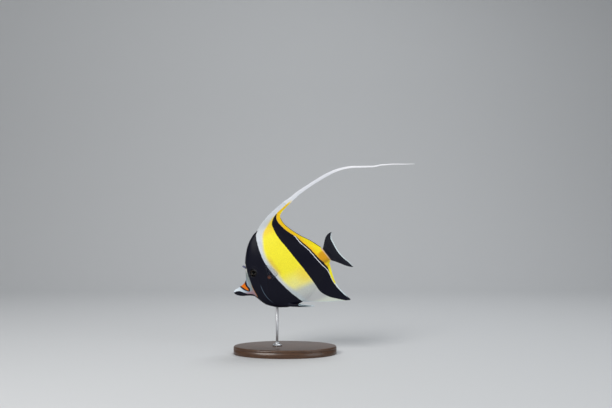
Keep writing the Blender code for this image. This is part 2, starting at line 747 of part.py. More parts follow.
def stand_rings(levels, segments):
    """Points and side faces of rings on the stand, of which each holds x, two half-axes and a height."""
    points = []
    for x, along, across, level in levels:
        for k in range(segments):
            angle = 2 * math.pi * k / segments
            px = x + along * math.cos(angle)
            pz = level(px) if callable(level) else level
            points.append(Vector((px, across * math.sin(angle), pz)) * METRE)
    faces = []
    for r in range(len(levels) - 1):
        for k in range(segments):
            n = (k + 1) % segments
            low, high = r * segments, (r + 1) * segments
            faces.append((low + k, low + n, high + n, high + k))
    return points, faces


def capped(name, points, faces, segments, finish):
    faces.append(tuple(range(segments)))
    faces.append(tuple(range(len(points) - segments, len(points))))
    return add_object(name, points, faces, finish)


def make_stand_base(finish):
    """An oval plate with an eased upper edge."""
    segments = 40
    eased = ((0, 0), (0, BASE_THICKNESS - BASE_BEVEL), (0.3 * BASE_BEVEL, BASE_THICKNESS - 0.3 * BASE_BEVEL),
             (BASE_BEVEL, BASE_THICKNESS))
    levels = [(0, BASE_LENGTH / 2 - inset, BASE_WIDTH / 2 - inset, z) for inset, z in eased]
    points, faces = stand_rings(levels, segments)
    return capped("stand_base", points, faces, segments, finish)


def make_stand_rod(finish):
    """A round rod from the base to the belly, its top cut to the belly's slope."""
    segments = 16
    foot = (ROD_X, ROD_RADIUS, ROD_RADIUS, BASE_THICKNESS + GAP)
    head = (ROD_X, ROD_RADIUS, ROD_RADIUS, lambda x: belly_level(x) - GAP)
    points, faces = stand_rings([foot, head], segments)
    return capped("stand_rod", points, faces, segments, finish)


def make_stand_collar(finish):
    """A turned collar on the base, round the rod's foot."""
    segments = 20
    bore = ROD_RADIUS + GAP
    foot = BASE_THICKNESS + GAP
    top = foot + COLLAR_HEIGHT
    profile = (
        (bore, foot), (COLLAR_RADIUS, foot), (COLLAR_RADIUS, foot + 1.4), (COLLAR_RADIUS - 1, foot + 2.2),
        (COLLAR_RADIUS - 3.4, top - 0.8), (bore + 1.4, top), (bore, top), (bore, foot),
    )
    points, faces = stand_rings([(ROD_X, r, r, z) for r, z in profile], segments)
    first_copy = len(points) - segments
    closed = [tuple(n - first_copy if n >= first_copy else n for n in face) for face in faces]
    return add_object("stand_collar", points[:first_copy], closed, finish)


def build():
    clear_scene()
    white = material("skin_white", (0.86, 0.87, 0.86), 0.45)
    yellow = material("skin_yellow", (0.95, 0.74, 0.05), 0.45)
    black = material("skin_black", (0.012, 0.012, 0.018), 0.4)
    clear = material("fin_clear", (0.35, 0.42, 0.5), 0.4)
    glassy = material("eye_dark", (0.03, 0.018, 0.01), 0.08)
    horn = material("horn_bone", (0.5, 0.52, 0.55), 0.5)
    wood = material("stand_wood", (0.12, 0.055, 0.025), 0.35)
    steel = material("stand_steel", (0.62, 0.63, 0.65), 0.3, metallic=1.0)

    make_snout(white)
    make_lower_jaw(black)
    make_head(black)
    make_trunk(yellow)
    make_tail_stalk(yellow)
    make_dorsal_fin(yellow)
    make_streamer("streamer_front", 0.0, STREAMER_JOINT, 18, white)
    make_streamer("streamer_rear", STREAMER_JOINT + 0.0013, 1.0, 20, white)
    make_anal_fin(black)
    make_tail_fin(black)
    for side, word in ((-1, "left"), (1, "right")):
        make_eye(f"eye_{word}", side, glassy)
        make_horn(f"horn_{word}", side, horn)
        make_pectoral_fin(f"pectoral_fin_{word}", side, clear)
        make_pelvic_fin(f"pelvic_fin_{word}", side, black)
    make_stand_base(wood)
    make_stand_rod(steel)
    make_stand_collar(steel)


build()
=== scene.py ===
"""A moorish idol on a display stand, dressed for the render: skin, fins, eyes, horns and stand."""

import math
from functools import partial

import bmesh
import bpy
import numpy as np
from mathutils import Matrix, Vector


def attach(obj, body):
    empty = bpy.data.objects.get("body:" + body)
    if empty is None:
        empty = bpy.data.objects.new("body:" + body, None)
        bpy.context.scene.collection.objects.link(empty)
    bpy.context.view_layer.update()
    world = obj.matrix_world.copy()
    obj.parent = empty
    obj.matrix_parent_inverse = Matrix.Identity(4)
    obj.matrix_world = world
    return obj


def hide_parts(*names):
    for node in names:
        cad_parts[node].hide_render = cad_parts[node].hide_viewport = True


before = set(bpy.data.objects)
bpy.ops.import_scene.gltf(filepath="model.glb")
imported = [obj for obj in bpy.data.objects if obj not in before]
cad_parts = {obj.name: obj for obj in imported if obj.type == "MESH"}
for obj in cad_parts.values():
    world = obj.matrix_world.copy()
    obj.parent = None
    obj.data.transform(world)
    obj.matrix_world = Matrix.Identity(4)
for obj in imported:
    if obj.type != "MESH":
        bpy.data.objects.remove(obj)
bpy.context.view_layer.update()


# The studio: a pale seamless sweep that rises behind the stand, three soft lamps and a pale room.
# The camera looks level at the fish's left side, as far off as frames it like the photograph.

METRE = 0.001
FLOOR_FRONT = -1.6
FLOOR_BACK = 0.9
FLOOR_SIDE = 3.0
WALL_CURVE = 0.6
WALL_TOP = 3.0
CAMERA_DISTANCE = 1288.0
VIEW_CENTRE = (31.7, 226.5)
FISH_MIDDLE = (0.0, 0.0, 0.15)
LAMPS = (
    ("key_lamp", (-0.75, -1.1, 1.15), 0.9, 19.0, (1.0, 0.985, 0.96)),
    ("fill_lamp", (1.1, -1.0, 0.55), 1.0, 5.5, (0.93, 0.97, 1.0)),
    ("back_lamp", (0.3, 0.5, 1.5), 0.8, 9.0, (0.96, 0.98, 1.0)),
)


def add_object(name, data):
    obj = bpy.data.objects.new(name, data)
    bpy.context.scene.collection.objects.link(obj)
    return obj


def add_mesh(name, points, faces, finish):
    """An object at the origin from points in metres, with its faces turned outwards."""
    mesh = bpy.data.meshes.new(name)
    mesh.from_pydata([tuple(p) for p in points], [], faces)
    shape = bmesh.new()
    shape.from_mesh(mesh)
    bmesh.ops.recalc_face_normals(shape, faces=shape.faces)
    shape.to_mesh(mesh)
    shape.free()
    mesh.materials.append(finish)
    mesh.shade_smooth()
    return add_object(name, mesh)


def ring_faces(rings, size):
    """The faces of a closed tube of rings, given in order, each of the same number of points."""
    faces = [
        (k * size + n, k * size + (n + 1) % size, (k + 1) * size + (n + 1) % size, (k + 1) * size + n)
        for k in range(rings - 1) for n in range(size)
    ]
    return faces + [tuple(range(size)), tuple(range((rings - 1) * size, rings * size))]


def new_material(name, **sockets):
    """A material with its shader, whose constant sockets are given by name with underscores."""
    made = bpy.data.materials.new(name)
    made.use_nodes = True
    shader = made.node_tree.nodes["Principled BSDF"]
    for socket, value in sockets.items():
        shader.inputs[socket.replace("_", " ")].default_value = value
    return made, made.node_tree, shader


backdrop, _, _ = new_material("pale_backdrop", Base_Color=(0.60, 0.61, 0.62, 1), Roughness=0.9)
sweep = [(FLOOR_FRONT, 0.0), (FLOOR_BACK, 0.0)]
sweep += [
    (FLOOR_BACK + WALL_CURVE * math.sin(a), WALL_CURVE - WALL_CURVE * math.cos(a))
    for a in np.linspace(0.1, math.pi / 2, 14)
]
sweep += [(FLOOR_BACK + WALL_CURVE, WALL_TOP)]
points = [(x, y, z) for x in (-FLOOR_SIDE, FLOOR_SIDE) for y, z in sweep]
count = len(sweep)
faces = [(k, k + 1, count + k + 1, count + k) for k in range(count - 1)]
floor = add_mesh("studio_floor", points, faces, backdrop)

camera = bpy.data.cameras.new("camera")
camera.lens = 50
camera.sensor_width = 36
camera_object = add_object("camera", camera)
camera_object.location = (VIEW_CENTRE[0] * METRE, -CAMERA_DISTANCE * METRE, VIEW_CENTRE[1] * METRE)
camera_object.rotation_euler = (math.radians(90), 0, 0)
bpy.context.scene.camera = camera_object

for name, place_at, size, power, colour in LAMPS:
    lamp = bpy.data.lights.new(name, "AREA")
    lamp.shape = "DISK"
    lamp.size = size
    lamp.energy = power
    lamp.color = colour
    lamp_object = add_object(name, lamp)
    lamp_object.location = place_at
    aim = Vector(FISH_MIDDLE) - Vector(place_at)
    lamp_object.rotation_euler = aim.to_track_quat("-Z", "Y").to_euler()

room = bpy.data.worlds.new("pale_room")
bpy.context.scene.world = room
room.use_nodes = True
sky = room.node_tree.nodes["Background"].inputs
sky["Color"].default_value = (0.9, 0.94, 1.0, 1)
sky["Strength"].default_value = 0.2
bpy.context.scene.view_settings.view_transform = "Standard"


# The skin is one unbroken surface over snout, head, trunk and tail stalk: a painted cast whose scales
# are too fine to see one by one. Its markings are the broad bands that name the species.
# The fish is drawn in its own frame in millimetres: s back from the snout, y to its right, h up.

PITCH = math.radians(22.0)
SNOUT_X = -76.7
SNOUT_Z = 95.1
DORSAL_LINE = [
    (-2, -2.3), (-1, -0.3), (1, 0.9), (6, 1.7), (11.5, 2.8), (17, 4.5), (21.5, 7.8), (24.4, 14), (26.6, 21),
    (29, 28.5), (32.3, 36.5), (37.5, 46), (43.5, 54.8), (52, 63.3), (63.5, 70), (73, 71.2), (83, 68.6),
    (93, 61.8), (105, 50.2), (118, 36.2), (131, 23.8), (143, 13.2), (148, 8.8), (156, 5.5),
]
VENTRAL_LINE = [
    (-2, -2.9), (-1, -5), (1, -7.4), (3.6, -9.4), (9, -12.2), (15, -14.2), (21, -16.6), (25.5, -19.6),
    (28.5, -24.5), (31.5, -30), (35.5, -36), (41, -41), (48, -45.8), (57, -50.2), (67, -53.3), (80, -54.7),
    (91, -54), (105, -48.5), (120, -38), (136, -25), (150, -14.2), (154, -12.4), (158, -11.5),
]
MID_LINE = [(-2, -2.6), (10, -4.6), (20, -4), (30, 2), (40, 8), (55, 7), (80, 5), (110, 2), (153, -2)]
HALF_WIDTH = [
    (-2, 0.7), (0, 2), (4, 3.3), (12, 4.2), (20, 5.8), (28, 8.6), (38, 11.6), (52, 13.6), (72, 13.2),
    (92, 10.8), (112, 7.6), (132, 4.8), (147, 3.4), (156, 3),
]
DORSAL_EDGE = [
    (-2, 0.4), (4, 1.5), (20, 2.4), (30, 3.2), (45, 2.8), (63, 1.9), (100, 1.5), (140, 1.1), (156, 1),
]
VENTRAL_EDGE = [
    (-2, 0.4), (4, 1.5), (20, 2.2), (35, 2.4), (60, 2.5), (85, 2), (100, 1.5), (140, 1.1), (156, 1),
]
FULLNESS = [(-2, 0.5), (20, 0.55), (40, 0.72), (60, 0.88), (100, 1), (150, 0.75)]
FLANK_POWER = 2.2
EDGE_ROUNDING = 1.3
DORSAL_BASE = (64.8, 145.4)
ANAL_BASE = (91.5, 147.5)
FIN_BLEND = 4.0
MOUTH_LINE = [(-2, -2.6), (2, -3.5), (6, -5.8), (11, -8.9), (18, -12.4), (25, -15.4)]
GILL_CUT = (50.5, 12.5, 5.5)
EYE_AT = (37.2, 14.7)
EYE_RADIUS = 5.8
PREOPERCLE = [(-46, 54.6), (-36.2, 46.8), (-23.4, 41.9), (-11.8, 40.6), (0, 41.5), (10, 45.5)]
NOSTRILS = ((27.9, 16.2), (28.5, 19.2))
PECTORAL_LOBE = (58.6, -1.6)
ROOT_SWELLS = ((PECTORAL_LOBE, 3.4, 1.0), ((66.8, -50.4), 3.2, 0.6), ((29.9, 26.0), 2.6, 0.5))
SKIN_RING = 150
SKIN_END = 151.0
HANDS = ((-1, "left"), (1, "right"))


def smooth_curve(points):
    """A monotone cubic through (x, y) points, for numbers or arrays."""
    xs, ys = (np.array(column, float) for column in zip(*points))
    steps = np.diff(xs)
    slopes = np.diff(ys) / steps
    tangents = np.concatenate([slopes[:1], np.zeros(len(slopes) - 1), slopes[-1:]])
    for i in range(1, len(slopes)):
        before, after = slopes[i - 1], slopes[i]
        if before * after > 0:
            first = 2 * steps[i] + steps[i - 1]
            second = steps[i] + 2 * steps[i - 1]
            tangents[i] = (first + second) / (first / before + second / after)

    def value(x):
        x = np.clip(x, xs[0], xs[-1])
        i = np.clip(np.searchsorted(xs, x, side="right") - 1, 0, len(steps) - 1)
        t = (x - xs[i]) / steps[i]
        left = ys[i] * (1 + 2 * t) + steps[i] * t * tangents[i]
        right = ys[i + 1] * (3 - 2 * t) - steps[i] * (1 - t) * tangents[i + 1]
        return left * (1 - t) ** 2 + right * t ** 2

    return value


def smooth_step(low, high, x):
    t = np.clip((x - low) / (high - low), 0, 1)
    return t * t * (3 - 2 * t)


dorsal_line, ventral_line, mid_line = (smooth_curve(p) for p in (DORSAL_LINE, VENTRAL_LINE, MID_LINE))
half_width, dorsal_edge, ventral_edge = (smooth_curve(p) for p in (HALF_WIDTH, DORSAL_EDGE, VENTRAL_EDGE))
fullness, mouth_line, preopercle = (smooth_curve(p) for p in (FULLNESS, MOUTH_LINE, PREOPERCLE))


def section_share(s, h):
    """How far h lies from the widest level: 1 at the back, -1 at the belly."""
    mid = mid_line(s)
    up = (h - mid) / np.maximum(dorsal_line(s) - mid, 0.01)
    down = (h - mid) / np.maximum(mid - ventral_line(s), 0.01)
    return np.clip(np.where(h >= mid, up, down), -1, 1)


def flank_width(s, h):
    """The body's half-width before its back and belly are rounded off."""
    v = section_share(s, h)
    edge = np.where(v > 0, dorsal_edge(s), ventral_edge(s))
    return edge + (half_width(s) - edge) * (1 - np.abs(v) ** FLANK_POWER) ** fullness(s)


def under_fin(s, base):
    """1 along a fin's base, where back or belly runs on into the fin, and 0 off it."""
    first, last = base
    return smooth_step(first, first + FIN_BLEND, s) * (1 - smooth_step(last - FIN_BLEND, last, s))


def body_width(s, h):
    """The half-width with a rounded back and belly, by the distance to the outline."""
    v = section_share(s, h)
    rooted = np.where(v > 0, under_fin(s, DORSAL_BASE), under_fin(s, ANAL_BASE))
    rounding = EDGE_ROUNDING * (1 - 0.97 * rooted)
    fore, line, aft = (np.where(v > 0, dorsal_line(x), ventral_line(x)) for x in (s - 0.3, s, s + 0.3))
    depth = np.abs(line - h) / np.sqrt(1 + ((aft - fore) / 0.6) ** 2)
    edge = np.where(v > 0, dorsal_edge(s), ventral_edge(s))
    share = np.clip(depth / (rounding * edge), 0, 1)
    return flank_width(s, h) - edge + edge * np.sqrt(1 - (1 - share) ** 2)


def place(points):
    """Points (s, y, h) in the fish's frame in millimetres, moved to the model's frame in metres."""
    s, y, h = np.moveaxis(np.asarray(points), -1, 0)
    x = SNOUT_X + s * math.cos(PITCH) - h * math.sin(PITCH)
    z = SNOUT_Z + s * math.sin(PITCH) + h * math.cos(PITCH)
    return np.stack([x, y, z], axis=-1) * METRE


def ridge(x, width):
    """1 where x is 0, falling off smoothly to both sides over its width."""
    return np.exp(-(x / width) ** 2)


def from_gill(s, v):
    """How far behind the gill cover's edge a place lies, and how open the gill is at its height."""
    edge = GILL_CUT[0] + GILL_CUT[1] * v + GILL_CUT[2] * (1 - v * v)
    return s - edge, np.clip(1 - ((v + 0.15) / 0.75) ** 2, 0, 1)


def skin_relief(s, h, v):
    """How far lips, face folds, orbit, nostrils, gill cover and fin roots stand off the plain skin."""
    from_mouth = h - mouth_line(s)
    at_lips = smooth_step(-2, 0.6, s) * (1 - smooth_step(2.5, 6.5, s))
    relief = 0.6 * at_lips * (ridge(from_mouth - 0.95, 0.7) + ridge(from_mouth + 0.95, 0.7))
    slit = 2.2 * (1 - smooth_step(1.0, 5.5, s)) + 0.35 * (1 - smooth_step(9, 24, s))
    relief -= slit * ridge(from_mouth, 0.34)
    from_eye = np.hypot(s - EYE_AT[0], h - EYE_AT[1]) - EYE_RADIUS
    relief += 0.75 * ridge(from_eye - 0.75, 0.75) + 0.35 * ridge(from_eye - 3.4, 1.2)
    relief -= 2.6 * (1 - smooth_step(-1.3, 0.1, from_eye))
    for nostril in NOSTRILS:
        hole = np.hypot(s - nostril[0], h - nostril[1])
        relief += 0.25 * ridge(hole - 0.95, 0.35) - 0.9 * ridge(hole, 0.5)
    gill, opening = from_gill(s, v)
    relief += opening * 0.65 * np.where(gill < 0, smooth_step(-5, -0.4, gill), 1 - smooth_step(0, 0.9, gill))
    relief -= opening * 0.7 * np.where(gill > 0.4, 1 - smooth_step(0.9, 6, gill), smooth_step(0, 0.9, gill))
    cheek = s - preopercle(h)
    cheek_reach = smooth_step(-42, -32, h) * (1 - smooth_step(4, 14, h))
    relief += cheek_reach * (0.25 * ridge(cheek + 1.6, 1.1) - 0.4 * ridge(cheek, 0.6))
    for (root_s, root_h), reach, height in ROOT_SWELLS:
        relief += height * ridge(np.hypot(s - root_s, h - root_h), reach)
    return relief


def offset_along_normal(s, y, h, relief):
    """Moves a right flank's grid of points along its own normal; the middle plane stays put."""
    grid = np.stack([s, y, h], axis=-1)
    along = np.gradient(grid, axis=0)
    down = np.gradient(grid, axis=1)
    normal = np.cross(along, down)
    normal /= np.maximum(np.linalg.norm(normal, axis=-1, keepdims=True), 1e-9)
    normal *= np.sign(np.sum(normal * np.array([0, 1, 0]), axis=-1, keepdims=True) + 1e-9)
    moved = grid + normal * relief[..., None]
    moved[..., 1] = np.maximum(moved[..., 1], 0.02)
    moved[:, (0, -1), 1] = 0
    return moved


stations = np.concatenate([
    -1.98 + 3.0 * np.linspace(0, 1, 12) ** 2, np.arange(1.5, 24, 0.6), np.arange(24, 64, 0.55),
    np.arange(64.6, SKIN_END - 1.2, 1.15), [SKIN_END - 0.5, SKIN_END],
])
s = np.repeat(stations[:, None], SKIN_RING + 1, axis=1)
v = np.repeat(np.cos(np.linspace(0, math.pi, SKIN_RING + 1))[None, :], len(stations), axis=0)
mid = mid_line(s)
h = mid + np.where(v > 0, v * (dorsal_line(s) - mid), v * (mid - ventral_line(s)))
y = body_width(s, h) * (1 - 0.45 * smooth_step(SKIN_END - 2, SKIN_END, s))
flank = offset_along_normal(s, y, h, skin_relief(s, h, v))
ring = np.concatenate([flank, flank[:, -2:0:-1] * np.array([1, -1, 1])], axis=1)
ring_size = ring.shape[1]
points = place(ring).reshape(-1, 3)
faces = ring_faces(len(stations), ring_size)[:-2]
for start in (0, (len(stations) - 1) * ring_size):
    points = np.vstack([points, points[start:start + ring_size].mean(axis=0)])
    faces += [(start + k, start + (k + 1) % ring_size, len(points) - 1) for k in range(ring_size)]


# The skin's paint is mixed from the places on the fish, and the fins share it. A node's inputs are given
# by name or number, as a constant or as the socket to link.


def set_inputs(tree, node, inputs):
    for key, value in inputs.items():
        socket = node.inputs[key.replace("_", " ") if isinstance(key, str) else key]
        if isinstance(value, bpy.types.NodeSocket):
            tree.links.new(value, socket)
        else:
            socket.default_value = (*value, 1) if socket.type == "RGBA" and len(value) == 3 else value


def add_node(tree, kind, inputs=(), **settings):
    """A node with its settings made first and its inputs after them."""
    node = tree.nodes.new(kind)
    for label, value in settings.items():
        setattr(node, label, value)
    set_inputs(tree, node, dict(inputs))
    return node


def node_tree(name, kind, inputs, outputs):
    """A tree with named sockets, given as (name, type) or (name, type, default), its inputs and its end."""
    tree = bpy.data.node_groups.new(name, kind)
    for way, sockets in (("INPUT", inputs), ("OUTPUT", outputs)):
        for label, socket_type, *default in sockets:
            socket = tree.interface.new_socket(label, in_out=way, socket_type=socket_type)
            if default:
                socket.default_value = default[0]
    return tree, tree.nodes.new("NodeGroupInput").outputs, tree.nodes.new("NodeGroupOutput")


def calc(tree, operation, *values):
    """A Math node on numbers or sockets."""
    return add_node(tree, "ShaderNodeMath", enumerate(values), operation=operation).outputs[0]


def ramp(tree, value, low, high):
    """0 below low and 1 above high, smooth between; low may be above high."""
    inputs = {"Value": value, "From Min": low, "From Max": high}
    return add_node(tree, "ShaderNodeMapRange", inputs, interpolation_type="SMOOTHSTEP").outputs["Result"]


def mix_colour(tree, share, first, second):
    return add_node(tree, "ShaderNodeMix", {0: share, 6: first, 7: second}, data_type="RGBA").outputs[2]


def layered(tree, colour, *coats):
    """Coats of (share, colour) laid over a colour, one after the other."""
    for share, coat in coats:
        colour = mix_colour(tree, share, colour, coat)
    return colour


def noise(tree, vector, scale, detail=2.0, roughness=0.5):
    inputs = {"Vector": vector, "Scale": scale, "Detail": detail, "Roughness": roughness}
    return add_node(tree, "ShaderNodeTexNoise", inputs).outputs["Fac"]


def stretched(tree, vector, stretch):
    return add_node(tree, "ShaderNodeVectorMath", {0: vector, 1: stretch}, operation="MULTIPLY").outputs[0]


def place_group(tree, group, **inputs):
    return add_node(tree, "ShaderNodeGroup", inputs, node_tree=group)


def object_place(tree):
    return tree.nodes.new("ShaderNodeTexCoord").outputs["Object"]


COORDINATES = ("Object Coordinates", "NodeSocketVector")

fish_frame, given, result = node_tree(
    "fish_frame", "ShaderNodeTree", [COORDINATES],
    [("Position", "NodeSocketVector"), ("S", "NodeSocketFloat"), ("H", "NodeSocketFloat")],
)
turn_back = (
    -(SNOUT_X * math.cos(PITCH) + SNOUT_Z * math.sin(PITCH)), 0,
    SNOUT_X * math.sin(PITCH) - SNOUT_Z * math.cos(PITCH),
)
position = add_node(fish_frame, "ShaderNodeMapping", {
    "Vector": given[0], "Location": turn_back, "Rotation": (0, PITCH, 0), "Scale": (1 / METRE,) * 3,
}).outputs[0]
split = add_node(fish_frame, "ShaderNodeSeparateXYZ", {0: position}).outputs
set_inputs(fish_frame, result, {"Position": position, "S": split["X"], "H": split["Z"]})


def fish_place(tree, coordinates=None):
    """Where a point lies in the fish's frame, in millimetres: its position, its s and its h."""
    here = place_group(tree, fish_frame, Object_Coordinates=coordinates or object_place(tree))
    return here.outputs["Position"], here.outputs["S"], here.outputs["H"]


SHEET_LOW = -90.0
SHEET_SPAN = 420.0


def curve_in_shader(tree, x, points):
    """The y that a curve through (x, y) points has at x, in millimetres."""
    unit_x = calc(tree, "MULTIPLY_ADD", x, 1 / SHEET_SPAN, -SHEET_LOW / SHEET_SPAN)
    node = add_node(tree, "ShaderNodeFloatCurve", {"Value": unit_x})
    curve = node.mapping.curves[0]
    node.mapping.extend = "HORIZONTAL"
    spots = [((x - SHEET_LOW) / SHEET_SPAN, (y - SHEET_LOW) / SHEET_SPAN) for x, y in sorted(points)]
    curve.points[0].location, curve.points[1].location = spots[0], spots[-1]
    for spot in spots[1:-1]:
        curve.points.new(*spot)
    for spot in curve.points:
        spot.handle_type = "AUTO_CLAMPED"
    node.mapping.update()
    return calc(tree, "MULTIPLY_ADD", node.outputs[0], SHEET_SPAN, SHEET_LOW)


# Where each colour ends, as (h, s), the place along the body for each height; LIP_LEVEL is (s, h).
FACE_REAR = [
    (-32, 18), (-27, 23), (-24, 27.8), (-21.7, 29.6), (-4.5, 28.2), (8, 28.5), (15.9, 28.9), (24, 29.8),
    (28, 30.5), (31.5, 30.9), (35, 28), (40, 22),
]
SADDLE_FRONT = [
    (-13, 29), (-7.4, 20.5), (-6, 18.6), (-4.5, 17.2), (-3, 16), (0, 14.2), (2.7, 12.1), (5, 10.7),
]
SADDLE_REAR = [(-13, 13), (-7.4, 20.7), (-5, 21), (-2, 19.9), (3, 19.1), (8, 19.8)]
LIP_LEVEL = [
    (-2, -1.9), (1, -2.1), (2, -1.8), (5, -2.3), (8, -3.5), (11, -6.2), (14, -8.8), (17, -11.5),
    (20, -12.7), (25, -15.2), (28.2, -20), (34, -30),
]
BAND_ONE_REAR = [
    (-56, 91), (-52.2, 88.9), (-32, 77.9), (-3.7, 66.5), (17.6, 60.4), (33.1, 58.5), (50.8, 59.1),
    (62, 60.9), (66, 62.4), (70, 65.2), (80, 70),
]
YELLOW_START = [
    (-54, 92), (-46, 88), (-38, 83.5), (-30, 79.0), (-21, 74.0), (-10, 70), (6, 65.6), (20, 62.2),
    (30, 60.6), (41, 61.6), (50, 64.8), (60, 67.9), (66, 71.6), (70, 76.2), (78, 86), (84, 100), (88, 122),
    (94, 150),
]
YELLOW_FULL = [
    (-54, 100), (-46, 96), (-38, 92), (-31, 88), (-26, 85), (-19, 81), (-10.9, 77.5), (0, 75), (19, 68.8),
    (30, 67.2), (41, 67.4), (53.3, 70.6), (61, 73.6), (66, 77.2), (70, 82.4), (77, 93), (84, 106),
    (88, 128), (94, 156),
]
BAND_TWO_FRONT = [
    (-78.3, 153.5), (-70.5, 141.3), (-60.3, 127.9), (-48.2, 119.4), (-35.6, 116.8), (-11.9, 110.9),
    (10, 104.4), (31.9, 97.7), (53.8, 91.2), (69.7, 89.9), (76.3, 92.6), (84.3, 102.5), (88, 116),
    (94, 140), (98, 170),
]
BAND_TWO_REAR = [
    (-78.3, 166), (-70, 156), (-67, 153), (-64, 150.7), (-58, 147.9), (-50, 145.2), (-45, 143.8),
    (-38, 143), (-30, 142.8), (-25, 142.2), (-20, 140.6), (-15, 138.2), (-10, 136.1), (-5, 134.3),
    (0, 132.4), (5, 131), (10, 129), (15, 127.2), (20, 124.7), (25, 122.1), (30, 119.4), (35, 117.8),
    (40, 116), (45, 114), (50, 110.4), (63.4, 103), (76, 99.8), (81.9, 101.8), (84.3, 103), (88, 111.5),
    (91, 120), (94, 128), (98, 150),
]
DARK_LINE_WIDTH = [
    (-30, 0), (-25, 1.2), (-20, 2.8), (-15, 3.6), (-10, 4.2), (-5, 3.4), (0, 3), (8, 2.7), (28, 2.7),
    (35, 1.9), (40, 1), (46, 0),
]
TAIL_EDGE = [
    (-90, 156), (-16, 154), (-9, 152.4), (-4, 151.0), (4, 148.6), (10, 146.4), (14, 145.4), (60, 140),
]
WHITE = (0.76, 0.78, 0.82)
YELLOW = (1.0, 0.905, 0.045)
PALE_YELLOW = (0.94, 0.89, 0.30)
BLACK = (0.0022, 0.0024, 0.010)
ORANGE = (0.82, 0.19, 0.005)

markings, given, result = node_tree(
    "markings", "ShaderNodeTree", [COORDINATES], [("Color", "NodeSocketColor")]
)
position, s_plain, h = fish_place(markings, given[0])
fade, curve, paint = (partial(work, markings) for work in (ramp, curve_in_shader, layered))
times, plus, minus = (partial(calc, markings, operation) for operation in ("MULTIPLY", "ADD", "SUBTRACT"))
wobble = calc(markings, "MULTIPLY_ADD", noise(markings, position, 0.35, 4.0, 0.6), 1.6, -0.8)
s = plus(s_plain, wobble)


def behind(edge, softness=0.35, shift=0.0):
    """A mask that is 1 behind an edge of the markings."""
    return fade(minus(s, curve(h, edge)), shift - softness, shift + softness)


def within(share, *limits):
    """A share that fades out beyond limits, each a place with where it is out and where it is full."""
    for limit in limits:
        share = times(share, fade(*limit))
    return share


def squared_from(centre):
    """The square of the distance from a place on the side view."""
    return plus(*(times(gap, gap) for gap in map(minus, (s_plain, h), centre)))


# snout and face: pale lips and cheeks, an orange saddle edged with black, a dark lower jaw
grain = noise(markings, position, 0.09, 3.0, 0.6)
saddle = calc(markings, "MINIMUM", minus(s, curve(h, SADDLE_FRONT)), minus(curve(h, SADDLE_REAR), s))
below_mouth = minus(curve(s_plain, LIP_LEVEL), h)
face = paint(
    (0.72, 0.80, 0.86),
    (fade(s_plain, 5.0, 21.0), (0.33, 0.41, 0.50)),
    (fade(s_plain, 23.0, 25.5), (0.28, 0.32, 0.32)),
    (fade(h, -7.0, -12.0), (0.38, 0.25, 0.29)),
    (fade(h, 16.0, 23.0), (0.66, 0.66, 0.62)),
    (fade(saddle, -2.9, -2.3), BLACK),
    (fade(saddle, -0.15, 0.25), ORANGE),
    (fade(below_mouth, -0.25, 0.35), BLACK),
)
# band one has the pale line of the cheek, and an orange hem on its front edge
orange_hem = within(behind(FACE_REAR, 0.3, -0.7), (h, 2.0, -8.0), (h, -24.0, -20.0))
from_cheek = calc(markings, "ABSOLUTE", minus(s_plain, curve(h, PREOPERCLE)))
cheek_line = within(0.4, (from_cheek, 0.6, 0.15), (h, -42.0, -26.0), (h, -4.0, -12.0))
# the white strip, with painted shade across its middle heights, and the yellow field that pales towards the
# belly
pale = paint(
    WHITE,
    (grain, (0.62, 0.67, 0.73)),
    (within(0.7, (h, 58.0, 70.0), (h, 88.0, 76.0)), (0.60, 0.63, 0.64)),
    (fade(h, -6.0, -38.0), (0.54, 0.60, 0.62)),
    # painted shade: the white strip darkened across its middle heights
    (within(0.4, (h, 4.0, 14.0), (h, 38.0, 28.0)), (0.48, 0.58, 0.62)),
)
start, full = curve(h, YELLOW_START), curve(h, YELLOW_FULL)
yellow = paint(
    YELLOW,
    (within(0.85, (h, 55.0, 66.0)), (0.96, 0.70, 0.05)),
    (times(grain, 0.2), (0.96, 0.70, 0.02)),
    (fade(h, 0.0, -27.0), PALE_YELLOW),
    (fade(h, -25.0, -38.0), (0.59, 0.615, 0.57)),
    (fade(h, -38.0, -52.0), (0.515, 0.528, 0.53)),
    (fade(h, -57.0, -65.0), (0.66, 0.70, 0.62)),
    (within(0.7, (minus(s_plain, start), 12.0, 6.5), (h, -6.0, 3.0), (h, 32.0, 22.0)), (0.80, 0.58, 0.075)),
    (within(0.8, (s_plain, 88.0, 110.0), (h, 4.0, -12.0), (h, -36.0, -18.0)), (0.98, 0.75, 0.06)),
)
field = paint(pale, (fade(s_plain, start, full), yellow))
# band two has a white and a dark hem behind it, and then warm yellow, darkest on the tail stalk
thinner = calc(markings, "MULTIPLY_ADD", fade(h, -24.0, -30.0), -0.45, 0.95)
past_white = minus(minus(s, curve(h, BAND_TWO_REAR)), times(fade(h, 45.0, 41.0), thinner))
past_dark = minus(past_white, curve(h, DARK_LINE_WIDTH))
dark_line = paint(BLACK, (fade(h, -2.0, 10.0), (0.05, 0.022, 0.007)))
# the orange patch on the tail stalk, its lower part darkened by painted shade
stalk_patch_and_shade = paint((0.76, 0.37, 0.012), (fade(h, -4.0, -12.0), (0.50, 0.27, 0.012)))
warm = paint(
    (0.96, 0.79, 0.015),
    (fade(h, -17.0, -25.0), (0.97, 0.88, 0.03)),
    (within(0.75, (past_white, 9.0, 3.0), (h, -24.0, -16.0)), (0.95, 0.52, 0.012)),
    (fade(squared_from((145.2, -3.0)), 140.0, 45.0), stalk_patch_and_shade),
)
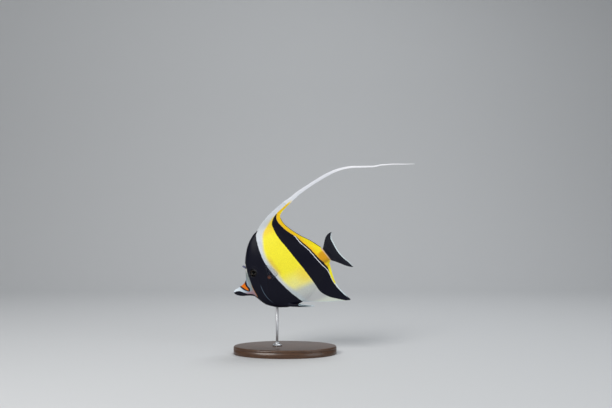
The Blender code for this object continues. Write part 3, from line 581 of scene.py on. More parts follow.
# over them go a pale pink line along the tail's root and a rust-coloured spot at each pectoral fin
from_tail = minus(s_plain, curve(h, TAIL_EDGE))
colour = paint(
    face,
    (orange_hem, (0.46, 0.20, 0.05)),
    (behind(FACE_REAR), BLACK),
    (cheek_line, (0.22, 0.32, 0.42)),
    (behind(BAND_ONE_REAR), pale),
    (behind(BAND_ONE_REAR, 0.5, 0.5), field),
    (behind(BAND_TWO_FRONT), BLACK),
    (behind(BAND_TWO_REAR, 0.25), (0.93, 0.96, 1.0)),
    (fade(past_white, -0.3, 0.3), dark_line),
    (fade(past_dark, -0.3, 0.3), warm),
    (within(1.0, (from_tail, -2.0, -1.0), (h, -14.0, -11.0), (h, 12.0, 9.5)), (0.72, 0.48, 0.28)),
    (fade(squared_from((57.8, 0.2)), 13.0, 1.0), (0.13, 0.045, 0.028)),
)
set_inputs(markings, result, {"Color": colour})

scale_grain, given, result = node_tree(
    "scale_grain", "ShaderNodeTree", [COORDINATES, ("Scale Length", "NodeSocketFloat", 0.9)],
    [("Height", "NodeSocketFloat"), ("Shade", "NodeSocketFloat")],
)
position, _, _ = fish_place(scale_grain, given[0])
cells = add_node(scale_grain, "ShaderNodeTexVoronoi", {
    "Vector": stretched(scale_grain, position, (0.8, 0.5, 1.25)),
    "Scale": calc(scale_grain, "DIVIDE", 1.0, given["Scale Length"]),
})
set_inputs(scale_grain, result, {
    "Height": calc(scale_grain, "SUBTRACT", 1.0, cells.outputs["Distance"]),
    "Shade": noise(scale_grain, position, 0.8, 3.0, 0.65),
})

SATIN = {"Specular_IOR_Level": 0.17, "Coat_Weight": 0.03, "Coat_Roughness": 0.2}


def add_bump(tree, shader, height, strength, distance, **settings):
    """Relief that only the light shows, of a distance in millimetres."""
    inputs = {"Height": height, "Strength": strength, "Distance": distance * METRE}
    bump = add_node(tree, "ShaderNodeBump", inputs, **settings)
    tree.links.new(bump.outputs[0], shader.inputs["Normal"])


def skin_material(name, bump=0.05, scale_length=0.9):
    """A painted skin: the markings, a fine scaly grain and a slightly uneven satin."""
    made, tree, shader = new_material(name, **SATIN)
    coordinates = object_place(tree)
    marked = place_group(tree, markings, Object_Coordinates=coordinates).outputs["Color"]
    grains = place_group(tree, scale_grain, Object_Coordinates=coordinates, Scale_Length=scale_length)
    add_bump(tree, shader, grains.outputs["Height"], strength=0.6, distance=bump)
    rough = calc(tree, "MULTIPLY_ADD", grains.outputs["Shade"], 0.22, 0.3)
    set_inputs(tree, shader, {"Base Color": marked, "Roughness": rough})
    return made, tree, shader, marked


skin_finish, *_ = skin_material("painted_skin")
skin = add_mesh("skin", points, faces, skin_finish)
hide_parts("snout", "lower_jaw", "head", "trunk", "tail_stalk")
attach(skin, "root")


# The scales are minute and rough, as this species has them: thin plates let into the skin and laid back
# from the snout, finest on the face. Lips, eye rims and the roots of fins and horns are bare.

SCALE_ZONES = (("face", -2.0, 33.0, 0.52), ("cheek", 33.0, 47.0, 0.68), ("flank", 47.0, 152.0, 0.86))
SCALE_LENGTH = 1.75
SCALE_WIDTH = 1.45
SCALE_SINK = 0.25
SCALE_LIFT = 0.02
SCALE_TILT = math.radians(5.0)
SCALE_CROWDING = 6.0
HORN_AT = (29.6, 26.2)
BARE_SPOTS = (
    (EYE_AT, EYE_RADIUS + 1.2), *((nostril, 1.5) for nostril in NOSTRILS), (HORN_AT, 2.5),
    (PECTORAL_LOBE, 4.2), ((66.8, -49.8), 3.2),
)
UNWRAP_SPAN = 168.0
UNWRAP_PATCH = 0.003


def keep_values(obj, label, values, kind="FLOAT"):
    """Keeps a value for each point of a mesh under a name."""
    spots = obj.data.attributes.new(label, kind, "POINT").data
    spots.foreach_set("value" if kind == "FLOAT" else "vector", np.asarray(values, np.float32).reshape(-1))


def named_value(tree, label, kind="FLOAT"):
    """An attribute of the geometry, by name."""
    node = add_node(tree, "GeometryNodeInputNamedAttribute", {"Name": label}, data_type=kind)
    return node.outputs["Attribute"]


def stored(tree, geometry, label, kind, domain, value):
    """The geometry with a value kept on it under a name."""
    inputs = {"Geometry": geometry, "Name": label, "Value": value}
    node = add_node(tree, "GeometryNodeStoreNamedAttribute", inputs, data_type=kind, domain=domain)
    return node.outputs["Geometry"]


def vector_of(tree, x, y, z):
    return add_node(tree, "ShaderNodeCombineXYZ", {0: x, 1: y, 2: z}).outputs[0]


def painted_end(tree, geometry, finish, result):
    """Ends a Geometry Nodes tree by giving its geometry a material."""
    painted = add_node(tree, "GeometryNodeSetMaterial", {"Geometry": geometry, "Material": finish})
    tree.links.new(painted.outputs[0], result.inputs[0])
    return tree


def scale_coat_tree():
    """Geometry Nodes: seats small plates all over a skin, evenly spaced and laid along its lie."""
    tree, given, result = node_tree("scale_coat", "GeometryNodeTree", [
        ("Geometry", "NodeSocketGeometry"), ("Spacing", "NodeSocketFloat", 0.001),
        ("Density", "NodeSocketFloat", 1e6), ("Seed", "NodeSocketInt", 1),
        ("Length", "NodeSocketFloat", 0.001), ("Width", "NodeSocketFloat", 0.001),
        ("Sink", "NodeSocketFloat", 0.0003),
        ("Lift", "NodeSocketFloat", 0.0), ("Tilt", "NodeSocketFloat", 0.1), ("Sides", "NodeSocketInt", 8),
        ("Patch", "NodeSocketFloat", UNWRAP_PATCH), ("Finish", "NodeSocketMaterial"),
    ], [("Geometry", "NodeSocketGeometry")])
    # one plate: a flat round top over a shallow cone that is sunk in the skin
    cone = add_node(tree, "GeometryNodeMeshCone", {
        "Radius Top": 0.0, "Radius Bottom": 0.5, "Depth": 1.0, "Vertices": given["Sides"],
    }, fill_type="TRIANGLE_FAN")
    spot = tree.nodes.new("GeometryNodeInputPosition").outputs[0]
    upturned = add_node(tree, "GeometryNodeTransform", {
        "Geometry": stored(tree, cone.outputs["Mesh"], "plate_place", "FLOAT_VECTOR", "POINT", spot),
        "Rotation": (math.pi, 0, 0), "Scale": vector_of(tree, given["Length"], given["Width"], given["Sink"]),
    })
    leaned = add_node(tree, "GeometryNodeTransform", {
        "Geometry": upturned.outputs[0], "Translation": vector_of(tree, 0.0, 0.0, given["Lift"]),
        "Rotation": vector_of(tree, 0.0, calc(tree, "MULTIPLY", given["Tilt"], -1.0), 0.0),
    })
    # the places of the plates, and how each is turned
    spread = add_node(tree, "GeometryNodeDistributePointsOnFaces", {
        "Mesh": given["Geometry"], "Distance Min": given["Spacing"], "Density Max": given["Density"],
        "Density Factor": named_value(tree, "scaled"), "Seed": given["Seed"],
    }, distribute_method="POISSON")
    turned_by = add_node(tree, "FunctionNodeAxesToRotation", {
        "Primary Axis": spread.outputs["Normal"], "Secondary Axis": named_value(tree, "lie", "FLOAT_VECTOR"),
    }, primary_axis="Z", secondary_axis="X")
    chance = add_node(tree, "FunctionNodeRandomValue", {"Seed": given["Seed"]}).outputs[1]
    seated = add_node(tree, "GeometryNodeInstanceOnPoints", {
        "Points": stored(tree, spread.outputs["Points"], "tone", "FLOAT", "POINT", chance),
        "Instance": leaned.outputs[0], "Rotation": turned_by.outputs[0],
        "Scale": calc(tree, "MULTIPLY_ADD", named_value(tree, "tone"), 0.2, 0.9),
    })
    realized = add_node(tree, "GeometryNodeRealizeInstances", {0: seated.outputs[0]}).outputs[0]
    # each plate's patch on the unwrap of the skin
    patch = add_node(tree, "ShaderNodeVectorMath", {
        0: named_value(tree, "plate_place", "FLOAT_VECTOR"), "Scale": given["Patch"],
    }, operation="SCALE").outputs[0]
    moved = add_node(tree, "ShaderNodeVectorMath", {0: named_value(tree, "unwrap", "FLOAT_VECTOR"), 1: patch})
    mapped = stored(tree, realized, "OFBake", "FLOAT2", "CORNER", moved.outputs[0])
    return painted_end(tree, mapped, given["Finish"], result)


def run_nodes(obj, tree, **values):
    """Applies a Geometry Nodes tree to an object, with inputs by name, and keeps the plain mesh."""
    modifier = obj.modifiers.new(tree.name, "NODES")
    modifier.node_group = tree
    for item in tree.interface.items_tree:
        label = item.name.replace(" ", "_")
        if item.in_out == "INPUT" and label in values:
            modifier[item.identifier] = values[label]
    graph = bpy.context.evaluated_depsgraph_get()
    result = bpy.data.meshes.new_from_object(obj.evaluated_get(graph))
    obj.modifiers.clear()
    obj.data = result
    return obj


def is_scaled(s, h):
    """True where the skin carries scales."""
    scaled = (s > 5.5) & ((np.abs(h - mouth_line(s)) > 1.1) | (s > 27))
    behind_gill, reach = from_gill(s, section_share(s, h))
    scaled &= (np.abs(behind_gill - 0.3) > 1.3) | (reach < 0.02)
    scaled &= (h < dorsal_line(s) - 0.7) | (under_fin(s, DORSAL_BASE) < 0.5)
    scaled &= (h > ventral_line(s) + 0.7) | (under_fin(s, ANAL_BASE) < 0.5)
    for (spot_s, spot_h), reach in BARE_SPOTS:
        scaled &= np.hypot(s - spot_s, h - spot_h) > reach
    return scaled


def attribute(tree, label):
    """A value kept on the points of the mesh, by name."""
    return add_node(tree, "ShaderNodeAttribute", attribute_name=label).outputs["Fac"]


def toned_colour(tree, colour, label, gain, start):
    """A colour made lighter or darker by an attribute of the mesh, from start by gain."""
    scale = calc(tree, "MULTIPLY_ADD", attribute(tree, label), gain, start)
    return add_node(tree, "ShaderNodeVectorMath", {0: colour, "Scale": scale}, operation="SCALE").outputs[0]


def walked(path):
    """The distance walked over rows of points, from the first row."""
    steps = np.linalg.norm(np.diff(path, axis=0), axis=-1)
    return np.concatenate([0 * steps[:1], np.cumsum(steps, axis=0)])


scale_coat = scale_coat_tree()
scale_finish, tree, shader, marked = skin_material("scale_paint", bump=0.012, scale_length=0.3)
toned = toned_colour(tree, marked, "tone", gain=0.13, start=0.91)
set_inputs(tree, shader, {"Base Color": toned})

lie = np.gradient(points[:ring.size // 3].reshape(ring.shape), axis=0).reshape(-1, 3)
girth = walked(flank.swapaxes(0, 1)).T
girth = girth - girth[:, -1:] / 2
run = walked(flank[:, SKIN_RING // 2])[:, None] + 0 * girth
unwrap = np.stack([run / UNWRAP_SPAN + 0.02, girth / UNWRAP_SPAN + 0.5, 0 * girth], axis=-1)
unwrap = np.concatenate([unwrap, unwrap[:, -2:0:-1]], axis=1).reshape(-1, 3)
skin_s, skin_y, skin_h = ring.reshape(-1, 3).T
ends = len(points) - len(lie)
lie, unwrap = np.vstack([lie, lie[-ends:]]), np.vstack([unwrap, unwrap[-ends:]])
for zone, (word, first, last, spacing) in enumerate(SCALE_ZONES):
    for side, hand in HANDS:
        held = is_scaled(skin_s, skin_h) & (skin_s >= first) & (skin_s < last) & (side * skin_y >= 0)
        scales = add_mesh(f"scales_{word}_{hand}", points, faces, scale_finish)
        keep_values(scales, "scaled", np.append(held, [0] * ends))
        keep_values(scales, "lie", lie, "FLOAT_VECTOR")
        keep_values(scales, "unwrap", unwrap, "FLOAT_VECTOR")
        gap = spacing * METRE
        run_nodes(
            scales, scale_coat, Spacing=gap, Density=SCALE_CROWDING / gap ** 2, Seed=7 + 2 * zone + side,
            Length=SCALE_LENGTH * gap, Width=SCALE_WIDTH * gap, Sink=SCALE_SINK * METRE,
            Lift=SCALE_LIFT * METRE, Tilt=SCALE_TILT, Finish=scale_finish,
        )
        for label in ("scaled", "lie", "unwrap", "plate_place"):
            kept = scales.data.attributes.get(label)
            if kept:
                scales.data.attributes.remove(kept)
        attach(scales, "root")


# The dorsal fin is a thin web on two short front spines and some forty soft rays, cast in resin.
# Its root is as thick as the back's ridge and sinks into it; the rays fork towards the free margin.

DORSAL_RAYS = 46
DORSAL_SPINES = 6
STREAMER_CUT = ((119.5, 97.1), (122.8, 89.3))
CUT_SHARE = 5.5 / 36
DORSAL_MARGIN = [
    (122.8, 89.3), (117.7, 86.9), (112.1, 84.2), (108, 81), (106.3, 76.7), (107.9, 66.4), (114.4, 54.1),
    (124.3, 40.4), (134.9, 28.5), (144.4, 15.4), (146.8, 12.2),
]
DORSAL_BOW = (4.2, -2.4)
WEB_HALF = 0.17
SPINE_WEB_HALF = 0.85
RIM_REACH = 4.0
SCALLOP = 0.3
RAY_SIDES = 6
ACROSS = np.array([0.0, 1.0, 0.0])


def smooth_path(points):
    """A rounded path through points in the side view, as a function of its length share."""
    p = np.array([points[0], *points, points[-1]], float)
    t = np.linspace(0, 1, 16, endpoint=False)[:, None]
    spans = [
        0.5 * (2 * b + (c - a) * t + (2 * a - 5 * b + 4 * c - d) * t ** 2 + (3 * b - a - 3 * c + d) * t ** 3)
        for a, b, c, d in zip(p, p[1:], p[2:], p[3:])
    ]
    fine = np.vstack([*spans, p[-1:]])
    lengths = walked(fine)

    def at(share):
        target = np.clip(share, 0, 1) * lengths[-1]
        return np.stack([np.interp(target, lengths, column) for column in fine.T], axis=-1)

    return at


def between(ends, share):
    """The number or point that lies at each share of the way between two."""
    first, last = np.array(ends, float)
    return first + np.multiply.outer(share, last - first)


def outline_offset(line, s, distance):
    """Points of the body's outline, moved off it by a distance."""
    slope = (line(s + 0.1) - line(s - 0.1)) / 0.2
    length = np.sqrt(1 + slope ** 2)
    return np.stack([s - slope / length * distance, line(s) + distance / length], axis=-1)


def ray_grid(root, tip, v, bow, growth=0.0):
    """Points along rays from root to tip, one row of v for each ray, bowed off the straight line.

    The bow of a ray changes by growth from its root to its tip.
    """
    along = tip - root
    length = np.linalg.norm(along, axis=-1, keepdims=True)
    across = np.stack([-along[:, 1], along[:, 0]], axis=-1) / length
    v = np.atleast_2d(v)[..., None]
    bow, growth = (np.broadcast_to(np.asarray(given), (len(root),))[:, None, None] for given in (bow, growth))
    lift = bow + growth * v
    bowed = across[:, None] * lift * 4 * v * (1 - v) * (v > 0)
    return root[:, None] + along[:, None] * v + bowed, length[:, 0]


def between_rays(u, rays):
    """0 on a ray and 1 halfway to the next, for ray shares u."""
    return np.sin(math.pi * u * (rays - 1)) ** 2


def scalloped(v, u, rays, length):
    """Draws the free margin in a little between the rays."""
    retreat = SCALLOP * between_rays(u, rays) / np.maximum(length, 4)
    return np.asarray(v)[None, :] * (1 - retreat[:, None])


def root_flare(line, edge, s, v, length):
    """A web's half-thickness from its root outwards, which carries the flank's own slope on into the fin."""
    up = 1 if line is dorsal_line else -1
    inside = outline_offset(line, s, -0.5 * up)
    slope = (flank_width(inside[:, 0], inside[:, 1]) - edge(s)) / 0.5
    out = (np.asarray(v)[None, :] * length[:, None])
    thick = np.maximum(edge(s) - WEB_HALF, 0.05)
    fade = thick / np.maximum(slope, 0.1)
    flare = thick[:, None] * np.exp(-np.maximum(out, 0) / fade[:, None])
    kept = np.exp(-np.maximum(out, 0) / fade[:, None])
    return WEB_HALF + thick[:, None] * kept + (slope[:, None] * -0.75) * np.minimum(out, 0), 1 - kept


def margin_rim(v, length):
    """1 at the free margin of a fin, and 0 beyond the reach of its hem."""
    return np.clip(1 - (1 - v)[None, :] * length[:, None] / RIM_REACH, 0, 1)


def from_side(flat, y=0.0):
    """Points (s, h) of the side view, at a distance y to the fish's right."""
    return np.stack([flat[..., 0], y + 0 * flat[..., 0], flat[..., 1]], axis=-1)


def web(name, middle, half, normal, rim, slack, finish):
    """A closed thin web from a grid of middle points, thinner where it is slack between its rays.

    It carries rim, which is 1 at the free margin, and slack, which is 1 halfway between two rays.
    """
    half = half - 0.35 * WEB_HALF * slack[:, None] * np.minimum(half / WEB_HALF, 1)
    offset = normal * half[..., None]
    sheets = np.arange(2 * half.size).reshape(2, *half.shape)
    a, b = sheets
    faces = [
        np.stack([g[:-1, :-1], g[1:, :-1], g[1:, 1:], g[:-1, 1:]], axis=-1).reshape(-1, 4) for g in sheets
    ]
    for first, second in ((a[:, 0], b[:, 0]), (a[:, -1], b[:, -1]), (a[0], b[0]), (a[-1], b[-1])):
        faces.append(np.stack([first[:-1], first[1:], second[1:], second[:-1]], axis=-1))
    points = place(np.stack([middle - offset, middle + offset])).reshape(-1, 3)
    obj = add_mesh(name, points, np.vstack(faces).tolist(), finish)
    keep_values(obj, "rim", np.tile(rim.reshape(-1), 2))
    keep_values(obj, "slack", np.tile(np.repeat(slack, rim.shape[1]), 2))
    return obj


def ray_tube_tree():
    """Geometry Nodes: sweeps each ray's line to a tube of its own taper."""
    tree, given, result = node_tree("ray_tubes", "GeometryNodeTree", [
        ("Geometry", "NodeSocketGeometry"), ("Sides", "NodeSocketInt", RAY_SIDES),
        ("Thickness", "NodeSocketFloat", 1.0), ("Finish", "NodeSocketMaterial"),
    ], [("Geometry", "NodeSocketGeometry")])
    curve = add_node(tree, "GeometryNodeMeshToCurve", {0: given["Geometry"]})
    ring = add_node(tree, "GeometryNodeCurvePrimitiveCircle", {"Resolution": given["Sides"], "Radius": 1.0})
    sweep = add_node(tree, "GeometryNodeCurveToMesh", {
        "Curve": curve.outputs[0], "Profile Curve": ring.outputs["Curve"], "Fill Caps": True,
        "Scale": calc(tree, "MULTIPLY", named_value(tree, "ray_radius"), given["Thickness"]),
    })
    smooth = add_node(tree, "GeometryNodeSetShadeSmooth", {0: sweep.outputs[0]})
    realized = add_node(tree, "GeometryNodeRealizeInstances", {0: smooth.outputs[0]})
    return painted_end(tree, realized.outputs[0], given["Finish"], result)


ray_tubes = ray_tube_tree()


def fin_rays(name, lines, radii, rims, finish):
    """Tapered rays along lines of (s, y, h) points."""
    edges, start = [], 0
    for line in lines:
        edges += [(start + k, start + k + 1) for k in range(len(line) - 1)]
        start += len(line)
    mesh = bpy.data.meshes.new(name)
    mesh.from_pydata(place(np.vstack(lines)).tolist(), edges, [])
    obj = add_object(name, mesh)
    keep_values(obj, "ray_radius", np.concatenate(radii))
    keep_values(obj, "rim", np.concatenate(rims))
    return run_nodes(obj, ray_tubes, Sides=RAY_SIDES, Finish=finish)


def forked_rays(grid_at, count, first_fork, radius, taper, spines=0, spread=0.27, steps=16):
    """Lines, radii and margins of rays that fork once; grid_at(u, v) gives points, lengths and the rim."""
    lines, radii, rims = [], [], []
    for k in range(count):
        u = np.array([k / (count - 1)])
        forks = k >= spines
        v = np.linspace(-0.02, first_fork if forks else 0.985, steps)
        spot, _, rim = grid_at(u, v)
        lines.append(spot[0])
        radii.append(radius * METRE * (1 - taper * np.clip(v, 0, 1)))
        rims.append(rim[0])
        v = np.linspace(first_fork, 0.99, steps)
        for way in (-1, 1) if forks else ():
            apart = np.clip(u + way * spread / (count - 1) * smooth_step(first_fork, 1.0, v), 0, 1)
            branch = [grid_at(apart[n:n + 1], v[n:n + 1])[0][0, 0] for n in range(steps)]
            lines.append(np.array(branch))
            radii.append(0.8 * radius * METRE * (1 - taper * v))
            rims.append(grid_at(u, v)[2][0])
    return lines, radii, rims


def edge_rounding(u, width):
    """Thins a web towards its first and last rays."""
    share = np.clip(np.minimum(u, 1 - u) / width, 0, 1)
    return np.sqrt(np.clip(1 - (1 - share) ** 2, 0, 1)) * 0.9 + 0.1


def dense_ends(count):
    """Shares from 0 to 1 with extra columns at both ends, where the web is rounded off."""
    inner = np.linspace(0, 1, count)
    ends = np.array([0.0008, 0.002, 0.004])
    return np.unique(np.concatenate([inner, ends, 1 - ends]))


def thinned(u, rim, ends, rate=2.6):
    """The share of its thickness that a web keeps towards its free margin and its first and last rays."""
    return np.where(rim > 0.8, 1 - rate * (rim - 0.8), 1) * edge_rounding(u, ends)[:, None]


def upright_grid(line, base, front, front_share, margin, rays, bow, bow_fade, free):
    """A fin on the back or the belly, as a function of shares u along its base and v out along its rays.

    Its tips run from front to the margin over the first share of u, and its hem begins over free.
    """
    margin_path = smooth_path(margin)

    def grid(u, v):
        root = outline_offset(line, between(base, u), 0.0)
        at_front = between((front, margin[0]), np.clip(u / front_share, 0, 1))
        at_margin = margin_path(np.clip((u - front_share) / (1 - front_share), 0, 1))
        tip = np.where((u <= front_share)[:, None], at_front, at_margin)
        reach = scalloped(v, u, rays, np.linalg.norm(tip - root, axis=1))
        flat, length = ray_grid(root, tip, reach, *np.multiply.outer(bow, (1 - u) ** bow_fade))
        return from_side(flat), length, margin_rim(v, length) * smooth_step(*free, u)[:, None]

    return grid


fin_edge, given, result = node_tree("fin_edge", "ShaderNodeTree", [
    ("Color", "NodeSocketColor", (0, 0, 0, 1)), ("Rim", "NodeSocketFloat", 0.0),
    ("Hem Color", "NodeSocketColor", (1, 1, 1, 1)), ("Hem Start", "NodeSocketFloat", 0.7),
    ("Hem Amount", "NodeSocketFloat", 1.0),
], [("Color", "NodeSocketColor")])
inner, outer = (calc(fin_edge, "ADD", given["Hem Start"], step) for step in (-0.05, 0.05))
hem = calc(fin_edge, "MULTIPLY", ramp(fin_edge, given["Rim"], inner, outer), given["Hem Amount"])
set_inputs(fin_edge, result, {"Color": mix_colour(fin_edge, hem, given["Color"], given["Hem Color"])})


def shade_between_rays(tree, colour):
    """A fin's colour, darkened halfway between its rays: painted shade in the hollows of the web between
    them.
    """
    return toned_colour(tree, colour, "slack", gain=-0.16, start=1.0)


def fin_material(name, hem_colour, hem_start, *hem_heights):
    """The skin's markings with a coloured hem along the fin's free margin, between heights, and painted shade
    between the rays.
    """
    made, tree, shader, marked = skin_material(name, bump=0.03, scale_length=0.6)
    amount = 1.0
    for limits in hem_heights:
        amount = calc(tree, "MULTIPLY", ramp(tree, fish_place(tree)[2], *limits), amount)
    hemmed = place_group(
        tree, fin_edge, Color=marked, Rim=attribute(tree, "rim"), Hem_Color=hem_colour, Hem_Start=hem_start,
        Hem_Amount=amount,
    )
    # painted shade halfway between the rays
    set_inputs(tree, shader, {"Base Color": shade_between_rays(tree, hemmed.outputs[0])})
    return made, tree, shader, hemmed


dorsal_finish, *_ = fin_material("dorsal_fin_paint", (0.01, 0.012, 0.035), 0.80, (82.0, 72.0))
dorsal_grid = upright_grid(
    dorsal_line, DORSAL_BASE, STREAMER_CUT[0], CUT_SHARE, DORSAL_MARGIN, DORSAL_RAYS, DORSAL_BOW,
    bow_fade=3, free=(CUT_SHARE * 0.9, CUT_SHARE * 1.1),
)
u = dense_ends(6 * (DORSAL_RAYS - 1) + 1)
v = np.concatenate([[-0.025, -0.012], np.linspace(0, 1, 44) ** 1.3])
middle, length, rim = dorsal_grid(u, v)
stout = (SPINE_WEB_HALF - WEB_HALF) * (1 - smooth_step(0.7, 1.35, u / CUT_SHARE))[:, None]
flare, away = root_flare(dorsal_line, dorsal_edge, between(DORSAL_BASE, u), v, length)
half = (flare + stout * away) * thinned(u, rim, ends=0.014)
dorsal_web = web("dorsal_web", middle, half, ACROSS, rim, between_rays(u, DORSAL_RAYS), dorsal_finish)
dorsal_lines = forked_rays(
    dorsal_grid, DORSAL_RAYS, first_fork=0.5, radius=0.42, taper=0.62, spines=DORSAL_SPINES
)
dorsal_rays = fin_rays("dorsal_rays", *dorsal_lines, dorsal_finish)
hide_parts("dorsal_fin")
for piece in (dorsal_web, dorsal_rays):
    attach(piece, "root")


# The streamer is the third dorsal spine drawn out far behind the tail: a white blade that tapers to a
# thread, stiff along its upper edge, with two fine rays bonded in its web.

STREAMER_LINE = [
    (121.43, 93.32), (129.6, 95.6), (146.4, 101.2), (163.2, 104.9), (179.3, 108), (195.6, 110.4),
    (211.8, 111.2), (231.2, 108.4), (249.4, 101.9), (258.8, 98.4), (264.5, 96.2), (270.4, 94.7),
    (276.7, 93.8), (282.5, 92), (288.5, 90), (296, 87.6), (310.9, 81.6), (326.5, 75.8),
]
STREAMER_DEPTH = [
    (0, 8.47), (0.06, 7), (0.13, 5.7), (0.2, 4.9), (0.28, 4.75), (0.36, 4.6), (0.42, 4), (0.48, 3.2),
    (0.65, 2.4), (0.85, 1.5), (1, 0.5),
]
STREAMER_THICKNESS = [(0, 1.7), (0.3, 1.25), (0.7, 0.85), (1, 0.4)]
STREAMER_DRIFT = 9.0
STREAMER_OVERLAP = 5.0
STREAMER_RAYS = ((0.837, 0.62, 1.0), (0.28, 0.34, 1.12), (-0.35, 0.3, 1.12))
YELLOW_HEM_AT = (101.5, 84.3)
YELLOW_HEM_SLOPE = 0.366

streamer_path = smooth_path(STREAMER_LINE)
streamer_depth, streamer_thickness = smooth_curve(STREAMER_DEPTH), smooth_curve(STREAMER_THICKNESS)
cut_line = np.subtract(STREAMER_CUT[0], STREAMER_CUT[1])
cut_line = cut_line / np.linalg.norm(cut_line)


def streamer_frame(t):
    """Middle, upward direction and direction along the streamer at length shares t."""
    here = streamer_path(t)
    along = streamer_path(t + 0.004) - streamer_path(t - 0.004)
    along /= np.linalg.norm(along, axis=1, keepdims=True)
    up = np.stack([-along[:, 1], along[:, 0]], axis=-1)
    blend = smooth_step(0, 0.06, t)[:, None]
    up = cut_line * (1 - blend) + up * blend
    up /= np.linalg.norm(up, axis=1, keepdims=True)
    return here, up, along


t = np.concatenate([[-1.0, -0.5], np.linspace(0, 1, 210) ** 1.05])
shares = np.clip(t, 0, 1)
here, up, along = streamer_frame(shares)
here = here + along * (np.minimum(t, 0) * STREAMER_OVERLAP)[:, None]
inside = np.where(t < 0, 1 + 0.12 * t, 1.0)
depth = streamer_depth(shares) * inside
thickness = streamer_thickness(shares) * np.where(t < 0, 1 + 0.3 * t, 1.0)
angle = np.linspace(0, 2 * math.pi, 20, endpoint=False)
rise, side = np.cos(angle), np.sin(angle)
fat = 0.62 + 0.38 * np.exp(-((rise - 0.62) / 0.4) ** 2)
flat = here[:, None] + up[:, None] * (rise[None, :, None] * depth[:, None, None] / 2)
across = thickness[:, None] / 2 * (side * fat)[None, :] + STREAMER_DRIFT * shares[:, None] ** 2

streamer_finish, tree, shader, _ = skin_material("streamer_paint", bump=0.02, scale_length=0.6)
position, at_s, at_h = fish_place(tree)
hem_level = YELLOW_HEM_AT[1] - YELLOW_HEM_AT[0] * YELLOW_HEM_SLOPE
hem_level = calc(tree, "MULTIPLY_ADD", at_s, YELLOW_HEM_SLOPE, hem_level)
yellow_hem = ramp(tree, calc(tree, "SUBTRACT", hem_level, at_h), -0.5, 0.4)
set_inputs(tree, shader, {"Base Color": layered(
    tree, WHITE,
    (ramp(tree, at_s, 118.0, 160.0), (0.84, 0.84, 0.89)),
    (noise(tree, position, 0.12, 3.0), (0.70, 0.73, 0.78)),
    (ramp(tree, at_s, 185.0, 235.0), (0.95, 0.95, 0.98)),
    (calc(tree, "MULTIPLY", yellow_hem, ramp(tree, at_s, 134.0, 124.0)), (0.94, 0.66, 0.012)),
)})
ring_points = place(from_side(flat, across)).reshape(-1, 3)
streamer = add_mesh("streamer", ring_points, ring_faces(len(t), len(angle)), streamer_finish)

shares = np.linspace(0.0, 0.97, 120)
here, up, _ = streamer_frame(shares)
lines, radii, rims = [], [], []
for level, radius, most in STREAMER_RAYS:
    flat = here + up * (streamer_depth(shares) / 2 * level)[:, None]
    lines.append(from_side(flat, STREAMER_DRIFT * shares ** 2))
    radii.append(np.minimum(radius * (1 - 0.75 * shares), streamer_thickness(shares) / 2 * most) * METRE)
    rims.append(0 * shares)
streamer_rays = fin_rays("streamer_rays", lines, radii, rims, streamer_finish)
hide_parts("streamer_front", "streamer_rear")
for piece in (streamer, streamer_rays):
    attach(piece, "root")


# The anal fin mirrors the dorsal: a black web on three spines and some thirty rays, white in front,
# with a thin pale hem on its free margin, its root let into the keel of the belly.

ANAL_RAYS = 36
ANAL_SPINES = 3
ANAL_FRONT_TIP = (157.6, -78.6)
ANAL_MARGIN = [
    (158.6, -77.6), (155, -70.5), (151.9, -64), (148.9, -55.5), (147, -48), (146.7, -41), (147.1, -34),
    (148.2, -25), (149, -19), (149.2, -16),
]
ANAL_TIP_END = 0.04
ANAL_BOW = (-1.6, 0.0)
LEADING_SHARE = 0.03

anal_finish, tree, shader, hemmed = fin_material(
    "anal_fin_paint", (0.76, 0.91, 0.98), 0.62, (-45.0, -49.0), (-76.0, -66.0)
)
front_part = ramp(tree, attribute(tree, "front"), 0.35, 0.8)
front_part = calc(tree, "MULTIPLY", front_part, ramp(tree, fish_place(tree)[1], 150.0, 143.0))
front_hem = mix_colour(tree, front_part, hemmed.outputs[0], (0.45, 0.70, 0.88))
# painted shade halfway between the rays
set_inputs(tree, shader, {"Base Color": shade_between_rays(tree, front_hem)})

anal_grid = upright_grid(
    ventral_line, ANAL_BASE, ANAL_FRONT_TIP, ANAL_TIP_END, ANAL_MARGIN, ANAL_RAYS, ANAL_BOW,
    bow_fade=2, free=(0.02, 0.06),
)
u = dense_ends(6 * (ANAL_RAYS - 1) + 1)
v = np.concatenate([[-0.02, -0.01], np.linspace(0, 1, 44) ** 1.3])
middle, length, rim = anal_grid(u, v)
flare, _ = root_flare(ventral_line, ventral_edge, between(ANAL_BASE, u), v, length)
half = flare * thinned(u, rim, ends=0.014)
anal_web = web("anal_web", middle, half, ACROSS, rim, between_rays(u, ANAL_RAYS), anal_finish)
keep_values(anal_web, "front", np.tile(np.repeat(np.clip(1 - u / LEADING_SHARE, 0, 1), len(v)), 2))
anal_lines = forked_rays(anal_grid, ANAL_RAYS, first_fork=0.5, radius=0.4, taper=0.6, spines=ANAL_SPINES)
anal_rays = fin_rays("anal_rays", *anal_lines, anal_finish)
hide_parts("anal_fin")
for piece in (anal_web, anal_rays):
    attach(piece, "root")


# The tail fin is a black crescent of sixteen rays that fork twice, hemmed in pale blue behind. Its root
# wraps the end of the tail stalk, and the blade swings a little to the fish's right.

TAIL_ROOT = ((147.6, 8.5), (153.4, -12.0))
TAIL_MARGIN = [
    (170, 27.2), (166.5, 19.5), (166.9, 10), (168.5, -3), (172.6, -15.8), (177.2, -24.5), (180.9, -34.6),
]
TAIL_BOW = ((0.4, -1.0), (6.6, 3.6))
TAIL_SWING = 5.0
TAIL_RAYS = 17
FINER_FROM = 155.5

